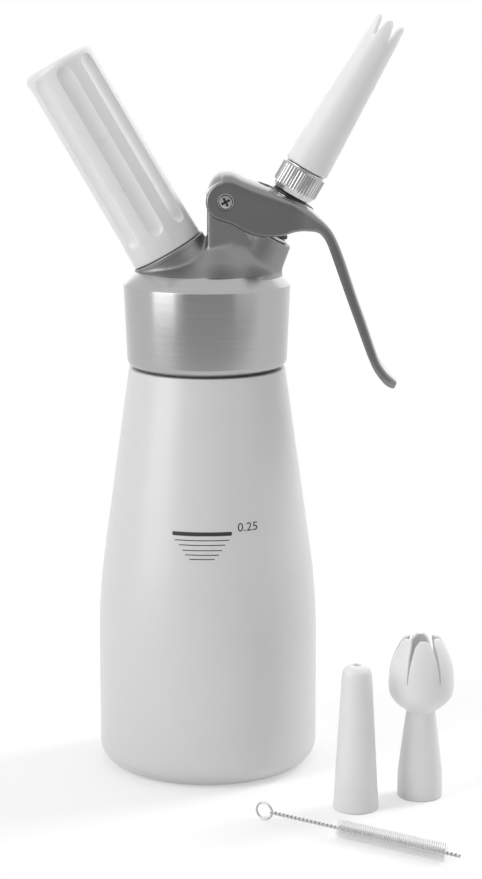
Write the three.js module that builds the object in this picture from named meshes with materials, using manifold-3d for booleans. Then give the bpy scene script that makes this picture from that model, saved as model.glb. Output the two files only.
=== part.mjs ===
// Whipped cream dispenser: bottle, screw-on head with a charger holder and a lever valve, and its accessories.
// Millimetres, +Z up. The origin is the middle of the bottle's foot; +X points to the side of the lever.

import * as THREE from 'three';
import { mergeVertices } from 'three/addons/utils/BufferGeometryUtils.js';
import { LoftGeometry } from 'three/addons/geometries/LoftGeometry.js';
import Module from 'manifold-3d';

const wasm = await Module();
wasm.setup();

// Shared fits and fineness
const clearance = 0.3; // gap between pieces that turn or slide in each other
const seatGap = 0.2; // gap between pieces that rest on each other
const overrun = 2; // how far a cut runs past the face that it opens
const roundSides = 40; // sides of a large round piece
const nozzleSides = 24; // sides of a nozzle
const smallSides = 20; // sides of a small round piece
const rodSides = 12; // sides of a thin rod, hole or groove
const wireSides = 6; // sides of a wire
const curveSteps = 4; // steps of a fillet or a curve in an outline
const coarseSteps = 3; // steps of a small or hidden one
const tilt = THREE.MathUtils.degToRad(30); // lean of the charger, and of the nozzle on the other side

// Bottle
const bottle = {
  radius: 35,
  height: 146,
  wall: 1.3,
  floor: 1.8,
  footRound: 7,
  bendHeight: 55, // where the straight side and the cone would meet
  bendReach: 15, // half the height of the bend between them
  shoulderRadius: 24.7,
  neckHeight: 17.4, // from the cone's end up to the mouth
  shoulderRound: 0.6,
  neckRadius: 21.2,
  neckWall: 2.7,
  rimRound: 0.5,
};

// Gasket between the bottle's mouth and the head
const gasket = { thickness: 1.6, inset: 0.7, overhang: 0.6 };

// Head: collar, body and the pivot lug
const collar = {
  gapToShoulder: 0.4,
  overhang: 0.5, // of its foot over the bottle's shoulder
  footRound: 2.6,
  roof: 7.5, // from the head's ceiling up to the start of the collar's chamfer
  radius: 26.2,
  chamferDrop: 4.2,
  chamferInset: 4.2,
  crownInset: 4,
  crownRise: 0.8,
  threadPlay: 1,
};
const body = {
  reachLeft: 14,
  reachRight: 21,
  halfWidth: 21.5,
  roundPower: 2, // a section with this power is an ellipse
  squarePower: 8,
};
const lug = {
  halfWidth: 8.4,
  faceReach: 5.8, // from the pivot to the upright face below it
  topRise: 4.6,
  shoulderDrop: 1, // the round top starts this far below the pivot
};

// Charger side of the head
const chargerPort = {
  rise: 24.44, // from the crossing with the bottle's axis to the boss's end face
  crossingDrop: 3.6, // from the ceiling of the head down to that crossing
  bossRadius: 12.2,
  bossEdge: 0.5,
  stubRadius: 9,
  stubLength: 8,
  boreRadius: 4.7,
  boreDepth: 8.3,
};
const pinHolder = { length: 6.2, top: -1.8 };
const pin = { radius: 0.9, tip: 2.3, tipLength: 1.6, bore: 0.35 };
const chargerSeal = { thickness: 1.6, hole: 1.35 };
const nipple = { offset: 8, radius: 1.8, bore: 0.7, top: 5, length: 12, endWall: 2, portRadius: 0.5 };
const sleeve = { thickness: 1, length: 5, gap: 1.5 };

// Charger and its holder
const charger = {
  radius: 8.9,
  length: 65,
  neckRadius: 4.4,
  neckLength: 8.6,
  shoulderLength: 6.5,
  wall: 1.2,
  pierced: 1.3,
  tipRound: 0.6,
};
const holder = {
  radius: 11.65,
  endWall: 2.7,
  endRound: 2.3,
  rimRound: 0.4,
  flutes: 8,
  fluteRadius: 5,
  fluteDepth: 1,
  fluteFromRim: 4.2,
  fluteFromEnd: 0.5,
  flutePhase: THREE.MathUtils.degToRad(5.5),
};

// Valve side of the head
const valvePort = {
  rise: 38.16,
  crossingDrop: 10.2,
  bossRadius: 8.2,
  boreRadius: 6,
  boreDepth: 19.5,
  portRadius: 4.2,
  portLength: 11,
};
const bush = { radius: 5.6, length: 7.5, flangeRadius: 6.6, flangeThickness: 0.8 };
const wiper = { radius: 5.9, thickness: 1.3 };
const stem = {
  radius: 3.6,
  footRadius: 3,
  footStep: 5, // from the valve's ledge down to the thin foot
  bore: 1.9,
  inletRadius: 1.5,
  collarRadius: 5.2,
  collarThickness: 2,
  flangeRadius: 5,
  flangeThickness: 1.6,
  travel: 3,
  threadLength: 7.8,
};
const seal = { radius: 6.2, thickness: 2 };
const footNut = { radius: 5, height: 3.3, sides: 6, stemProud: 0.6 };
const spring = { wire: 0.9, turns: 5.5, stepsPerTurn: 8, meanRadius: 4.85 };
const thrustRing = { radius: 5.8, thickness: 1.1 };
const adapter = {
  radius: 7.3,
  height: 8.4,
  ribs: 44,
  ribDepth: 0.45,
  chamferHeight: 2.2,
  chamferInset: 0.9,
  topChamfer: 0.3,
  lipRadius: 6.6,
  lipHeight: 0.5,
  spigotRadius: 5.1,
  spigotHeight: 6.4,
  flowRadius: 2,
};
const nozzleGasket = { thickness: 1, hole: 2.4 };

// Decorating nozzle on the dispenser
const star = {
  length: 52.1,
  baseRadius: 7.1,
  tipRadius: 4.9,
  baseStraight: 4,
  tipWall: 1.2,
  throat: 4.3,
  teeth: 6,
  notchDepth: 6.6,
  notchHalfWidth: 1.96,
  phase: THREE.MathUtils.degToRad(24),
  edge: 0.5,
};

// Lever
const lever = {
  arm: 16.9, // from the pivot to the valve's axis
  padHeight: 6.78, // the seat on the valve lies this far above the pivot, along the valve
  reach: 54, // from the pivot to the tip, level
  drop: 60, // from the pivot to the tip, upright
  halfWidth: 11,
  cheek: 2,
  web: 2,
  crown: 2.6, // how far the arched top rises over its edges
  innerArchShare: 0.7, // rise of the hollow's arch, as a share of the crown's
  archSteps: 6,
  topRound: 1.2,
  hubRadius: 6.2,
  webStart: 1, // the web starts this far left of the pivot
  padThickness: 2.2,
  padRadius: 9.2,
  spotRadius: 8.8,
  slotHalfWidth: 4.1,
  slotNear: 7, // towards the pivot
  slotFar: 4.7,
  freePlay: 0.6,
};
const play = { wiper: 2, ring: 1.3, bushToCollar: 0.5 }; // running room in the valve's stack

// Pivot
const pivot = {
  barrelRadius: 2.6,
  barrelFlangeRadius: 3.6,
  flangeThickness: 1,
  screwHeadRadius: 2.1,
  screwHeadDepth: 1.2,
  screwRadius: 1.2,
  screwLength: 9,
  crownRadius: 1.3,
  crossWidth: 0.55,
  crossLength: 2.6,
  crossDepth: 0.7,
};

// Loose accessories
const plain = {
  x: 45.9,
  y: -49,
  height: 45.5,
  baseRadius: 7,
  topRadius: 4.6,
  shoulderHeight: 42.4,
  outlet: 1.8,
  outletLip: 0.5,
  wall: 1.3,
};
const tulip = {
  x: 66.3,
  y: -38,
  baseRadius: 6.95,
  baseStraight: 8,
  neckRadius: 4.55,
  neckHeight: 28,
  bulbRadius: 10.1,
  height: 51,
  wall: 1.2,
  petals: 6,
  petalLength: 12.8,
  slitHalfWidth: 1.3,
  phase: THREE.MathUtils.degToRad(31),
};
const socket = { radius: 5.4, depth: 7.7 }; // thread socket at the foot of every nozzle
const brush = {
  x: 17.6,
  y: -60,
  heading: THREE.MathUtils.degToRad(-33.6),
  wire: 1.2,
  ringRadius: 2.3, // to the middle of the wire
  ringSteps: 14,
  ringGap: THREE.MathUtils.degToRad(11), // from the shank to each end of the ring's wire
  bristleStart: 26,
  bristleLength: 41.5,
  bristleRadius: 2.9,
  strands: 300,
  strandWidth: 0.22,
  strandSides: 3,
};

// Closed mesh with its shared corners merged, ready to be joined or cut.
function toSolid(geometry) {
  const bare = new THREE.BufferGeometry();
  bare.setAttribute('position', geometry.attributes.position);
  bare.setIndex(geometry.index);
  const merged = mergeVertices(bare);
  const corners = merged.index.array;
  const kept = [];
  for (let i = 0; i < corners.length; i += 3) {
    const [a, b, c] = corners.slice(i, i + 3);
    if (a !== b && b !== c && c !== a) kept.push(a, b, c);
  }
  const mesh = new wasm.Mesh({
    numProp: 3,
    vertProperties: new Float32Array(merged.attributes.position.array),
    triVerts: new Uint32Array(kept),
  });
  return new wasm.Manifold(mesh);
}

function toGeometry(solid) {
  const mesh = solid.getMesh();
  const geometry = new THREE.BufferGeometry();
  geometry.setAttribute('position', new THREE.BufferAttribute(mesh.vertProperties, 3));
  geometry.setIndex(new THREE.BufferAttribute(mesh.triVerts, 1));
  geometry.computeVertexNormals();
  return geometry;
}

function finish(color, roughness, metalness = 0) {
  return new THREE.MeshStandardMaterial({ color, roughness, metalness });
}

function addPiece(parent, name, solid, material) {
  const mesh = new THREE.Mesh(toGeometry(solid), material);
  mesh.name = name;
  parent.add(mesh);
}

// Solid turned about +Z from a profile of [radius, height] points or a path.
function turned(profile, sides = roundSides, place = new THREE.Matrix4()) {
  const points = profile.map((p) => (p.isVector2 ? p : new THREE.Vector2(...p)));
  return toSolid(new THREE.LatheGeometry(points, sides).rotateX(Math.PI / 2).applyMatrix4(place));
}

function cylinder(radius, low, high, sides = smallSides, place = new THREE.Matrix4()) {
  return turned([[0, low], [radius, low], [radius, high], [0, high]], sides, place);
}

function ring(inner, outer, low, high, sides = smallSides) {
  return turned([[inner, high], [inner, low], [outer, low], [outer, high], [inner, high]], sides);
}

// Outline in the X-Z plane, given thickness along Y with its middle on Y = 0.
function plate(points, thickness) {
  const shape = new THREE.Shape(points.map((p) => (p.isVector2 ? p : new THREE.Vector2(...p))));
  const geometry = new THREE.ExtrudeGeometry(shape, { depth: thickness, bevelEnabled: false });
  return toSolid(geometry.rotateX(Math.PI / 2).translate(0, thickness / 2, 0));
}

// Upright prism on an outline in the X-Y plane.
function prism(points, low, high, place = new THREE.Matrix4()) {
  const shape = new THREE.Shape(points.map((p) => new THREE.Vector2(...p)));
  const geometry = new THREE.ExtrudeGeometry(shape, { depth: high - low, bevelEnabled: false });
  return toSolid(geometry.translate(0, 0, low).applyMatrix4(place));
}

function loft(sections) {
  return toSolid(new LoftGeometry(sections, { capStart: true, capEnd: true }));
}

// Round stretch of an outline, from one angle to another in degrees.
function arc(x, y, radius, from, to, steps = curveSteps) {
  const points = [];
  for (let i = 0; i <= steps; i++) {
    const angle = THREE.MathUtils.degToRad(from + ((to - from) * i) / steps);
    points.push([x + radius * Math.cos(angle), y + radius * Math.sin(angle)]);
  }
  return points;
}

function curve(from, control, to, steps = curveSteps) {
  const bend = new THREE.QuadraticBezierCurve(...[from, control, to].map((p) => new THREE.Vector2(...p)));
  return bend.getPoints(steps).map((p) => [p.x, p.y]);
}

// Places that the pieces share

const shoulderHeight = bottle.height - bottle.neckHeight;
const ledge = shoulderHeight + clearance;
const mouthRadius = bottle.neckRadius - bottle.neckWall;
const ceiling = bottle.height + gasket.thickness + 2 * seatGap;
const collarFoot = ledge + collar.gapToShoulder;
const collarTop = ceiling + collar.roof;
const collarPeak = collarTop + collar.chamferDrop;
const cavityRadius = bottle.neckRadius + collar.threadPlay;

// A frame whose Z runs along a tilted axis that crosses the bottle's axis.
function tiltedFrame(angle, crossing, rise) {
  const place = new THREE.Vector3(rise * Math.sin(angle), 0, crossing + rise * Math.cos(angle));
  return new THREE.Matrix4().makeRotationY(angle).setPosition(place);
}

const valveFrame = tiltedFrame(tilt, ceiling - valvePort.crossingDrop, valvePort.rise);
const chargerFrame = tiltedFrame(-tilt, ceiling - chargerPort.crossingDrop, chargerPort.rise);

// Heights along the valve's axis, from the boss's end face
const bushTop = seatGap + bush.flangeThickness;
const wiperBase = bushTop + clearance;
const wiperTop = wiperBase + wiper.thickness;
const flangeBase = wiperTop + stem.travel + play.wiper;
const flangeTop = flangeBase + stem.flangeThickness;
const padBase = flangeTop + lever.freePlay;
const padTop = padBase + lever.padThickness;
const ringBase = padTop + play.ring;
const nutBase = ringBase + thrustRing.thickness + seatGap;
const nutTop = nutBase + adapter.height;
const spigotBase = nutTop + adapter.lipHeight;
const spigotTop = spigotBase + adapter.spigotHeight;
const nozzleBase = spigotBase + clearance;
const stemCollarBase = -(bush.length + play.bushToCollar + stem.collarThickness);
const portEnd = -(valvePort.boreDepth + valvePort.portLength);
const sealTop = portEnd - clearance;
const nutFaceTop = sealTop - seal.thickness - clearance;
const stemEnd = nutFaceTop - footNut.height - footNut.stemProud;

const pivotPoint = new THREE.Vector3(-lever.arm, 0, padBase - lever.padHeight).applyMatrix4(valveFrame);

// Heights along the charger's axis, from the boss's end face
const chargerTip = seatGap + chargerSeal.thickness + pinHolder.top + clearance;
const chargerEnd = chargerTip + charger.length;
const holderEnd = chargerEnd + clearance + holder.endWall;

// Bottle

function bottleProfile() {
  const { radius, wall, floor, footRound, bendHeight, bendReach, shoulderRadius, shoulderRound, height } = bottle;
  const slope = (radius - shoulderRadius) / (shoulderHeight - bendHeight);
  const low = bendHeight - bendReach;
  const high = bendHeight + bendReach;
  const highRadius = radius - slope * bendReach;
  const innerTop = ledge - bottle.neckWall;
  return [
    [0, 0],
    ...arc(radius - footRound, footRound, footRound, -90, 0),
    ...curve([radius, low], [radius, bendHeight], [highRadius, high]),
    [shoulderRadius, shoulderHeight - shoulderRound],
    [shoulderRadius - shoulderRound, ledge],
    [bottle.neckRadius, ledge],
    [bottle.neckRadius, height - bottle.rimRound],
    [bottle.neckRadius - bottle.rimRound, height],
    [mouthRadius, height],
    [mouthRadius, innerTop],
    [shoulderRadius - wall, innerTop - bottle.neckWall],
    ...curve([highRadius - wall, high], [radius - wall, bendHeight], [radius - wall, low], coarseSteps),
    ...arc(radius - footRound, footRound, footRound - wall, 0, -80, coarseSteps),
    [radius - footRound - wall, floor],
    [0, floor],
  ];
}

function headGasket() {
  const inner = mouthRadius - gasket.inset;
  const outer = bottle.neckRadius + gasket.overhang;
  const low = bottle.height + seatGap;
  return ring(inner, outer, low, low + gasket.thickness, roundSides);
}

// Head casting

function collarSolid() {
  const footRadius = bottle.shoulderRadius + collar.overhang;
  const peakRadius = collar.radius - collar.chamferInset;
  return turned([
    [0, collarFoot],
    ...arc(footRadius - collar.footRound, collarFoot + collar.footRound, collar.footRound, -90, 0),
    [collar.radius, collarTop],
    [peakRadius, collarPeak],
    [peakRadius - collar.crownInset, collarPeak + collar.crownRise],
    [0, collarPeak + collar.crownRise],
  ]);
}

// Cross-sections that turn from a circle on the collar into the flat-sided lug. Each row holds, as shares,
// the rise from the collar to the lug's root, the reach to the left and to the right, the half width
// between the lug's and the collar's, and how square the section is.
const bodyShares = [
  { rise: -0.05, left: 1.5, right: 1.05, width: 1, square: 0 },
  { rise: 0.28, left: 1.4, right: 1.02, width: 0.89, square: 0 },
  { rise: 0.37, left: 1.23, right: 1, width: 0.7, square: 0.05 },
  { rise: 0.47, left: 1.05, right: 0.99, width: 0.5, square: 0.2 },
  { rise: 0.6, left: 0.78, right: 0.98, width: 0.31, square: 0.42 },
  { rise: 0.87, left: 0.2, right: 0.96, width: 0.03, square: 0.88 },
  { rise: 1, left: 0, right: 0.9, width: 0, square: 1 },
];

function bodySection(height, left, right, halfWidth, power) {
  const middle = (left + right) / 2;
  const half = (right - left) / 2;
  const points = [];
  for (let i = 0; i < roundSides; i++) {
    const angle = ((i + 0.5) / roundSides) * 2 * Math.PI;
    const [c, s] = [Math.cos(angle), Math.sin(angle)];
    const x = middle + half * Math.sign(c) * Math.abs(c) ** (2 / power);
    const y = halfWidth * Math.sign(s) * Math.abs(s) ** (2 / power);
    points.push(new THREE.Vector3(x, y, height));
  }
  return points;
}

function bodySolid() {
  const lugFace = pivotPoint.x - lug.faceReach;
  const root = pivotPoint.z - 2 * lug.faceReach;
  const sections = bodyShares.map((row) => {
    const height = collarTop + row.rise * (root - collarTop);
    const halfWidth = lug.halfWidth + row.width * (body.halfWidth - lug.halfWidth);
    const power = body.roundPower + row.square * (body.squarePower - body.roundPower);
    return bodySection(height, lugFace - row.left * body.reachLeft, row.right * body.reachRight, halfWidth,
      power);
  });
  return loft(sections);
}

function lugSolid() {
  const { x, z } = pivotPoint;
  const left = x - lug.faceReach;
  const springLine = z - lug.shoulderDrop;
  const bossEdge = new THREE.Vector3(-valvePort.bossRadius, 0, 0).applyMatrix4(valveFrame);
  const crest = [];
  for (let i = 0; i <= 3 * curveSteps; i++) {
    const angle = Math.PI * (i / (3 * curveSteps));
    const rise = lug.topRise + lug.shoulderDrop;
    crest.push([x + lug.faceReach * Math.cos(angle), springLine + rise * Math.sin(angle)]);
  }
  const low = collarPeak;
  return plate([[left, low], [bossEdge.x + valvePort.boreRadius, low], [bossEdge.x, bossEdge.z], ...crest],
    2 * lug.halfWidth);
}

function chargerBoss() {
  const { bossRadius, bossEdge, stubRadius, stubLength } = chargerPort;
  const foot = -chargerPort.rise;
  return turned([
    [0, foot],
    [bossRadius, foot],
    [bossRadius, -bossEdge],
    [bossRadius - bossEdge, 0],
    [stubRadius, 0],
    [stubRadius, stubLength - bossEdge],
    [stubRadius - bossEdge, stubLength],
    [0, stubLength],
  ], roundSides, chargerFrame);
}

// The valve's boss flares into the collar. Each pair is a share of the bore's depth and of the boss's radius.
const flareShares = [[0, 1], [0.13, 1.05], [0.34, 1.13], [0.5, 1.26], [0.64, 1.5], [0.78, 1.85]];

function valveBoss() {
  const flare = flareShares.map(([depth, radius]) => {
    return [radius * valvePort.bossRadius, -depth * valvePort.boreDepth];
  });
  const deepest = flare.at(-1);
  return turned([[0, deepest[1]], ...flare.reverse(), [0, 0]], roundSides, valveFrame);
}

function portBoss() {
  return cylinder(valvePort.bossRadius, portEnd, -valvePort.boreDepth / 2, nozzleSides, valveFrame);
}

function gasPassage() {
  const inChamber = new THREE.Vector3(0, 0, -chargerPort.boreDepth).applyMatrix4(chargerFrame);
  const place = new THREE.Matrix4().setPosition(-nipple.offset, 0, 0);
  return cylinder(nipple.radius + clearance, ceiling - overrun, inChamber.z + overrun / 2, rodSides, place);
}

function headCasting() {
  const cavity = cylinder(cavityRadius, collarFoot - overrun, ceiling, roundSides);
  const valveBore = turned([
    [0, portEnd - overrun],
    [valvePort.portRadius, portEnd - overrun],
    [valvePort.portRadius, -valvePort.boreDepth],
    [valvePort.boreRadius, -valvePort.boreDepth],
    [valvePort.boreRadius, overrun],
    [0, overrun],
  ], smallSides, valveFrame);
  const top = chargerPort.stubLength + overrun;
  const chargerBore = cylinder(chargerPort.boreRadius, -chargerPort.boreDepth, top, smallSides, chargerFrame);
  const pivotBore = crossBore(pivot.barrelRadius + clearance, 2 * (lug.halfWidth + overrun));
  return collarSolid()
    .add(bodySolid())
    .add(lugSolid())
    .add(chargerBoss())
    .add(valveBoss())
    .subtract(cavity)
    .add(portBoss())
    .subtract(valveBore)
    .subtract(chargerBore)
    .subtract(gasPassage())
    .subtract(pivotBore);
}

// Hole along Y through the pivot.
function crossBore(radius, length) {
  const place = new THREE.Matrix4().makeRotationX(-Math.PI / 2).setPosition(pivotPoint);
  return cylinder(radius, -length / 2, length / 2, smallSides, place);
}

// Charger side, along its own axis

function pinHolderSolid() {
  const radius = chargerPort.boreRadius - clearance;
  const low = pinHolder.top - pinHolder.length;
  return ring(pin.radius + clearance / 2, radius, low, pinHolder.top);
}

function piercingPin() {
  const low = pinHolder.top - pinHolder.length + clearance;
  return turned([
    [pin.bore, low],
    [pin.radius, low],
    [pin.radius, pin.tip - pin.tipLength],
    [pin.bore + seatGap / 2, pin.tip],
    [pin.bore, pin.tip],
    [pin.bore, low],
  ], rodSides);
}

function chargerSealSolid() {
  const low = pinHolder.top + seatGap;
  return ring(chargerSeal.hole, chargerPort.boreRadius - clearance, low, low + chargerSeal.thickness);
}

function gasNipple() {
  const { radius, bore, top, length, endWall, portRadius } = nipple;
  const high = ceiling + top;
  const low = high - length;
  const tube = turned([
    [0, low],
    [radius, low],
    [radius, high],
    [bore, high],
    [bore, low + endWall],
    [0, low + endWall],
  ], rodSides);
  const port = cylinder(portRadius, -radius - overrun, radius + overrun, rodSides,
    new THREE.Matrix4().makeRotationX(Math.PI / 2).setPosition(0, 0, low + endWall + 2 * portRadius));
  return tube.subtract(port);
}

function checkValveSleeve() {
  const high = ceiling - sleeve.gap;
  const inner = nipple.radius + clearance / 2;
  return ring(inner, inner + sleeve.thickness, high - sleeve.length, high);
}

function chargerProfile() {
  const { radius, neckRadius, neckLength, shoulderLength, wall, pierced, tipRound } = charger;
  const neckEnd = chargerTip + neckLength;
  const shoulderEnd = neckEnd + shoulderLength;
  const middle = (neckEnd + shoulderEnd) / 2;
  const halfway = [(neckRadius + radius) / 2, middle];
  const outside = [
    [neckRadius - tipRound, chargerTip],
    [neckRadius, chargerTip + tipRound],
    ...curve([neckRadius, neckEnd], [neckRadius, middle - wall], halfway, coarseSteps),
    ...curve(halfway, [radius, middle + wall], [radius, shoulderEnd], coarseSteps).slice(1),
    ...arc(0, chargerEnd - radius, radius, 0, 90),
  ];
  const inside = [
    [0, chargerEnd - wall],
    ...arc(0, chargerEnd - radius, radius - wall, 80, 0, coarseSteps),
    [radius - wall, shoulderEnd],
    [neckRadius - wall, neckEnd],
    [neckRadius - wall, chargerTip + wall],
    [pierced, chargerTip + wall],
    [pierced, chargerTip],
    [neckRadius - tipRound, chargerTip],
  ];
  return [...outside, ...inside];
}

// The holder is a long cap with hollow flutes between its rim and its closed end.
function holderSolid() {
  const { radius, endWall, endRound, rimRound } = holder;
  const inner = Math.max(charger.radius, chargerPort.stubRadius) + clearance;
  const cap = turned([
    [inner, seatGap],
    [radius - rimRound, seatGap],
    [radius, seatGap + rimRound],
    ...arc(radius - endRound, holderEnd - endRound, endRound, 0, 90, coarseSteps),
    [0, holderEnd],
    [0, holderEnd - endWall],
    [inner, holderEnd - endWall],
    [inner, seatGap],
  ]);
  return fluteCutters().reduce((solid, cutter) => solid.subtract(cutter), cap);
}

function fluteCutters() {
  const { radius, flutes, fluteRadius, fluteDepth, fluteFromRim, fluteFromEnd, flutePhase } = holder;
  const low = seatGap + fluteFromRim;
  const high = holderEnd - fluteFromEnd;
  const offset = radius - fluteDepth + fluteRadius;
  const rod = [
    ...arc(0, low + fluteRadius, fluteRadius, -90, 0, coarseSteps),
    ...arc(0, high - fluteRadius, fluteRadius, 0, 90, coarseSteps),
  ];
  return Array.from({ length: flutes }, (_, i) => {
    const angle = (i / flutes) * 2 * Math.PI - Math.PI / 2 + flutePhase;
    const place = new THREE.Matrix4().setPosition(offset * Math.cos(angle), offset * Math.sin(angle), 0);
    return turned(rod, rodSides, place);
  });
}

// Valve side, along its own axis

function valveBush() {
  const inner = stem.radius + clearance;
  return turned([
    [inner, bushTop],
    [inner, -bush.length],
    [bush.radius, -bush.length],
    [bush.radius, seatGap],
    [bush.flangeRadius, seatGap],
    [bush.flangeRadius, bushTop],
    [inner, bushTop],
  ], smallSides);
}

function stemWiper() {
  return ring(stem.radius + clearance, wiper.radius, wiperBase, wiperTop);
}

function valveStem() {
  const { radius, footRadius, collarRadius, collarThickness, flangeRadius, bore } = stem;
  const top = nutBase + stem.threadLength;
  const step = -(valvePort.boreDepth + stem.footStep);
  const inlet = step - 2 * stem.inletRadius;
  const boreEnd = inlet - stem.inletRadius;
  const tube = turned([
    [0, stemEnd],
    [footRadius, stemEnd],
    [footRadius, step],
    [radius, step],
    [radius, stemCollarBase],
    [collarRadius, stemCollarBase],
    [collarRadius, stemCollarBase + collarThickness],
    [radius, stemCollarBase + collarThickness],
    [radius, flangeBase],
    [flangeRadius, flangeBase],
    [flangeRadius, flangeTop],
    [radius, flangeTop],
    [radius, top],
    [bore, top],
    [bore, boreEnd],
    [0, boreEnd],
  ], smallSides);
  const hole = cylinder(stem.inletRadius, -footRadius - overrun, footRadius + overrun, rodSides,
    new THREE.Matrix4().makeRotationX(Math.PI / 2).setPosition(0, 0, inlet));
  return tube.subtract(hole);
}

function valveSeal() {
  return ring(stem.footRadius + clearance, seal.radius, sealTop - seal.thickness, sealTop);
}

function stemFootNut() {
  const low = nutFaceTop - footNut.height;
  return cylinder(footNut.radius, low, nutFaceTop, footNut.sides)
    .subtract(cylinder(stem.footRadius + clearance, low - overrun, nutFaceTop + overrun));
}

// One unbroken tube wound round the stem between the valve's ledge and the stem's collar.
function springPath() {
  const low = -valvePort.boreDepth + clearance + spring.wire / 2;
  const high = stemCollarBase - clearance - spring.wire / 2;
  const steps = Math.round(spring.turns * spring.stepsPerTurn);
  return Array.from({ length: steps + 1 }, (_, i) => {
    const angle = (i / spring.stepsPerTurn) * 2 * Math.PI;
    const height = low + ((high - low) * i) / steps;
    return new THREE.Vector3(spring.meanRadius * Math.cos(angle), spring.meanRadius * Math.sin(angle), height);
  });
}

// Tube that winds round +Z through the points given.
function woundTube(points, radius) {
  const sections = points.map((point, i) => {
    const ahead = points[Math.min(i + 1, points.length - 1)];
    const behind = points[Math.max(i - 1, 0)];
    const along = ahead.clone().sub(behind).normalize();
    const out = new THREE.Vector3(point.x, point.y, 0).normalize();
    const up = along.clone().cross(out).normalize();
    const side = up.clone().cross(along);
    return wireSection(point, side, up, radius);
  });
  return loft(sections);
}

// Ring of points about a wire's middle, counter-clockwise as the wire's far end sees it.
function wireSection(point, side, up, radius) {
  return Array.from({ length: wireSides }, (_, i) => {
    const angle = (i / wireSides) * 2 * Math.PI;
    return point.clone().addScaledVector(side, radius * Math.cos(angle))
      .addScaledVector(up, radius * Math.sin(angle));
  });
}

function leastGap(points, thickness, turnSteps) {
  let least = Infinity;
  for (let i = 0; i < points.length; i++) {
    for (let j = i + turnSteps - 2; j < points.length; j++) {
      least = Math.min(least, points[i].distanceTo(points[j]) - thickness);
    }
  }
  return least;
}

function adapterNut() {
  const { radius, ribs, ribDepth, chamferHeight, chamferInset, topChamfer } = adapter;
  const outline = Array.from({ length: 2 * ribs }, (_, i) => {
    const angle = (i / ribs) * Math.PI;
    const r = i % 2 ? radius - ribDepth : radius;
    return [r * Math.cos(angle), r * Math.sin(angle)];
  });
  const barrel = turned([
    [0, nutBase],
    [radius - chamferInset, nutBase],
    [radius, nutBase + chamferHeight],
    [radius, nutTop - topChamfer],
    [radius - topChamfer, nutTop],
    [adapter.lipRadius, nutTop],
    [adapter.lipRadius, spigotBase],
    [0, spigotBase],
  ], 2 * ribs);
  const spigot = cylinder(adapter.spigotRadius, nutBase + adapter.lipHeight, spigotTop, nozzleSides);
  const threadEnd = nutBase + stem.threadLength + seatGap;
  const bore = turned([
    [0, nutBase - overrun],
    [stem.radius + clearance, nutBase - overrun],
    [stem.radius + clearance, threadEnd],
    [adapter.flowRadius, threadEnd],
    [adapter.flowRadius, spigotTop + overrun],
    [0, spigotTop + overrun],
  ], smallSides);
  return prism(outline, nutBase - overrun, spigotBase + overrun).intersect(barrel).add(spigot).subtract(bore);
}

function nozzleGasketSolid() {
  const low = spigotTop + clearance;
  return ring(nozzleGasket.hole, adapter.spigotRadius - clearance, low, low + nozzleGasket.thickness);
}

// Nozzles

function starNozzle() {
  const { length, baseRadius, tipRadius, baseStraight, tipWall, edge } = star;
  const low = nozzleBase;
  const high = low + length;
  const socketTop = spigotTop + nozzleGasket.thickness + 2 * clearance;
  const shell = turned([
    [adapter.spigotRadius + clearance, low],
    [baseRadius - edge, low],
    [baseRadius, low + edge],
    [baseRadius, low + baseStraight],
    [tipRadius, high],
    [tipRadius - tipWall, high],
    [star.throat, socketTop],
    [adapter.spigotRadius + clearance, socketTop],
    [adapter.spigotRadius + clearance, low],
  ], nozzleSides);
  return toothNotches(star.teeth, star.notchHalfWidth, star.notchDepth, high, star.phase)
    .reduce((solid, notch) => solid.subtract(notch), shell);
}

// V-shaped notches cut inwards from the tip, between the teeth.
function toothNotches(count, halfWidth, depth, high, phase) {
  const slope = (halfWidth * overrun) / depth;
  const outline = [[-halfWidth - slope, depth + overrun], [0, 0], [halfWidth + slope, depth + overrun]];
  return Array.from({ length: count }, (_, i) => {
    const place = new THREE.Matrix4()
      .makeRotationZ(phase + (i / count) * 2 * Math.PI)
      .multiply(new THREE.Matrix4().makeRotationX(Math.PI / 2).setPosition(0, 0, high - depth));
    return prism(outline, overrun, 2 * tulip.bulbRadius, place);
  });
}

function plainNozzle() {
  const { height, baseRadius, topRadius, shoulderHeight, outlet, outletLip, wall } = plain;
  return turned([
    [socket.radius, 0],
    [baseRadius, 0],
    ...curve([topRadius, shoulderHeight], [topRadius, height], [outlet + outletLip, height]),
    [outlet, height],
    [outlet, height - 2 * wall],
    [topRadius - wall, shoulderHeight - wall],
    [socket.radius - wall, socket.depth],
    [socket.radius, socket.depth],
    [socket.radius, 0],
  ], nozzleSides);
}

// Half profile of the tulip between its neck and its tips, as shares of the bulb's swell and of the height.
const petalShares = [[0, 0], [0.66, 0.12], [0.97, 0.24], [1, 0.38], [0.93, 0.61], [0.66, 0.78], [0.28, 0.95],
  [0.12, 1]];

function tulipNozzle() {
  const { baseRadius, baseStraight, neckRadius, neckHeight, bulbRadius, height, wall } = tulip;
  const outside = petalShares.map(([swell, rise]) => {
    return [neckRadius + swell * (bulbRadius - neckRadius), neckHeight + rise * (height - neckHeight)];
  });
  const inside = outside.map(([r, z]) => [r - wall, z]).reverse();
  const shell = turned([
    [socket.radius, 0],
    [baseRadius, 0],
    [baseRadius, baseStraight],
    ...outside,
    ...inside,
    [socket.radius - wall, socket.depth],
    [socket.radius, socket.depth],
    [socket.radius, 0],
  ], nozzleSides);
  return toothNotches(tulip.petals, tulip.slitHalfWidth, tulip.petalLength, height, tulip.phase)
    .reduce((solid, notch) => solid.subtract(notch), shell);
}

// Lever

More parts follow.
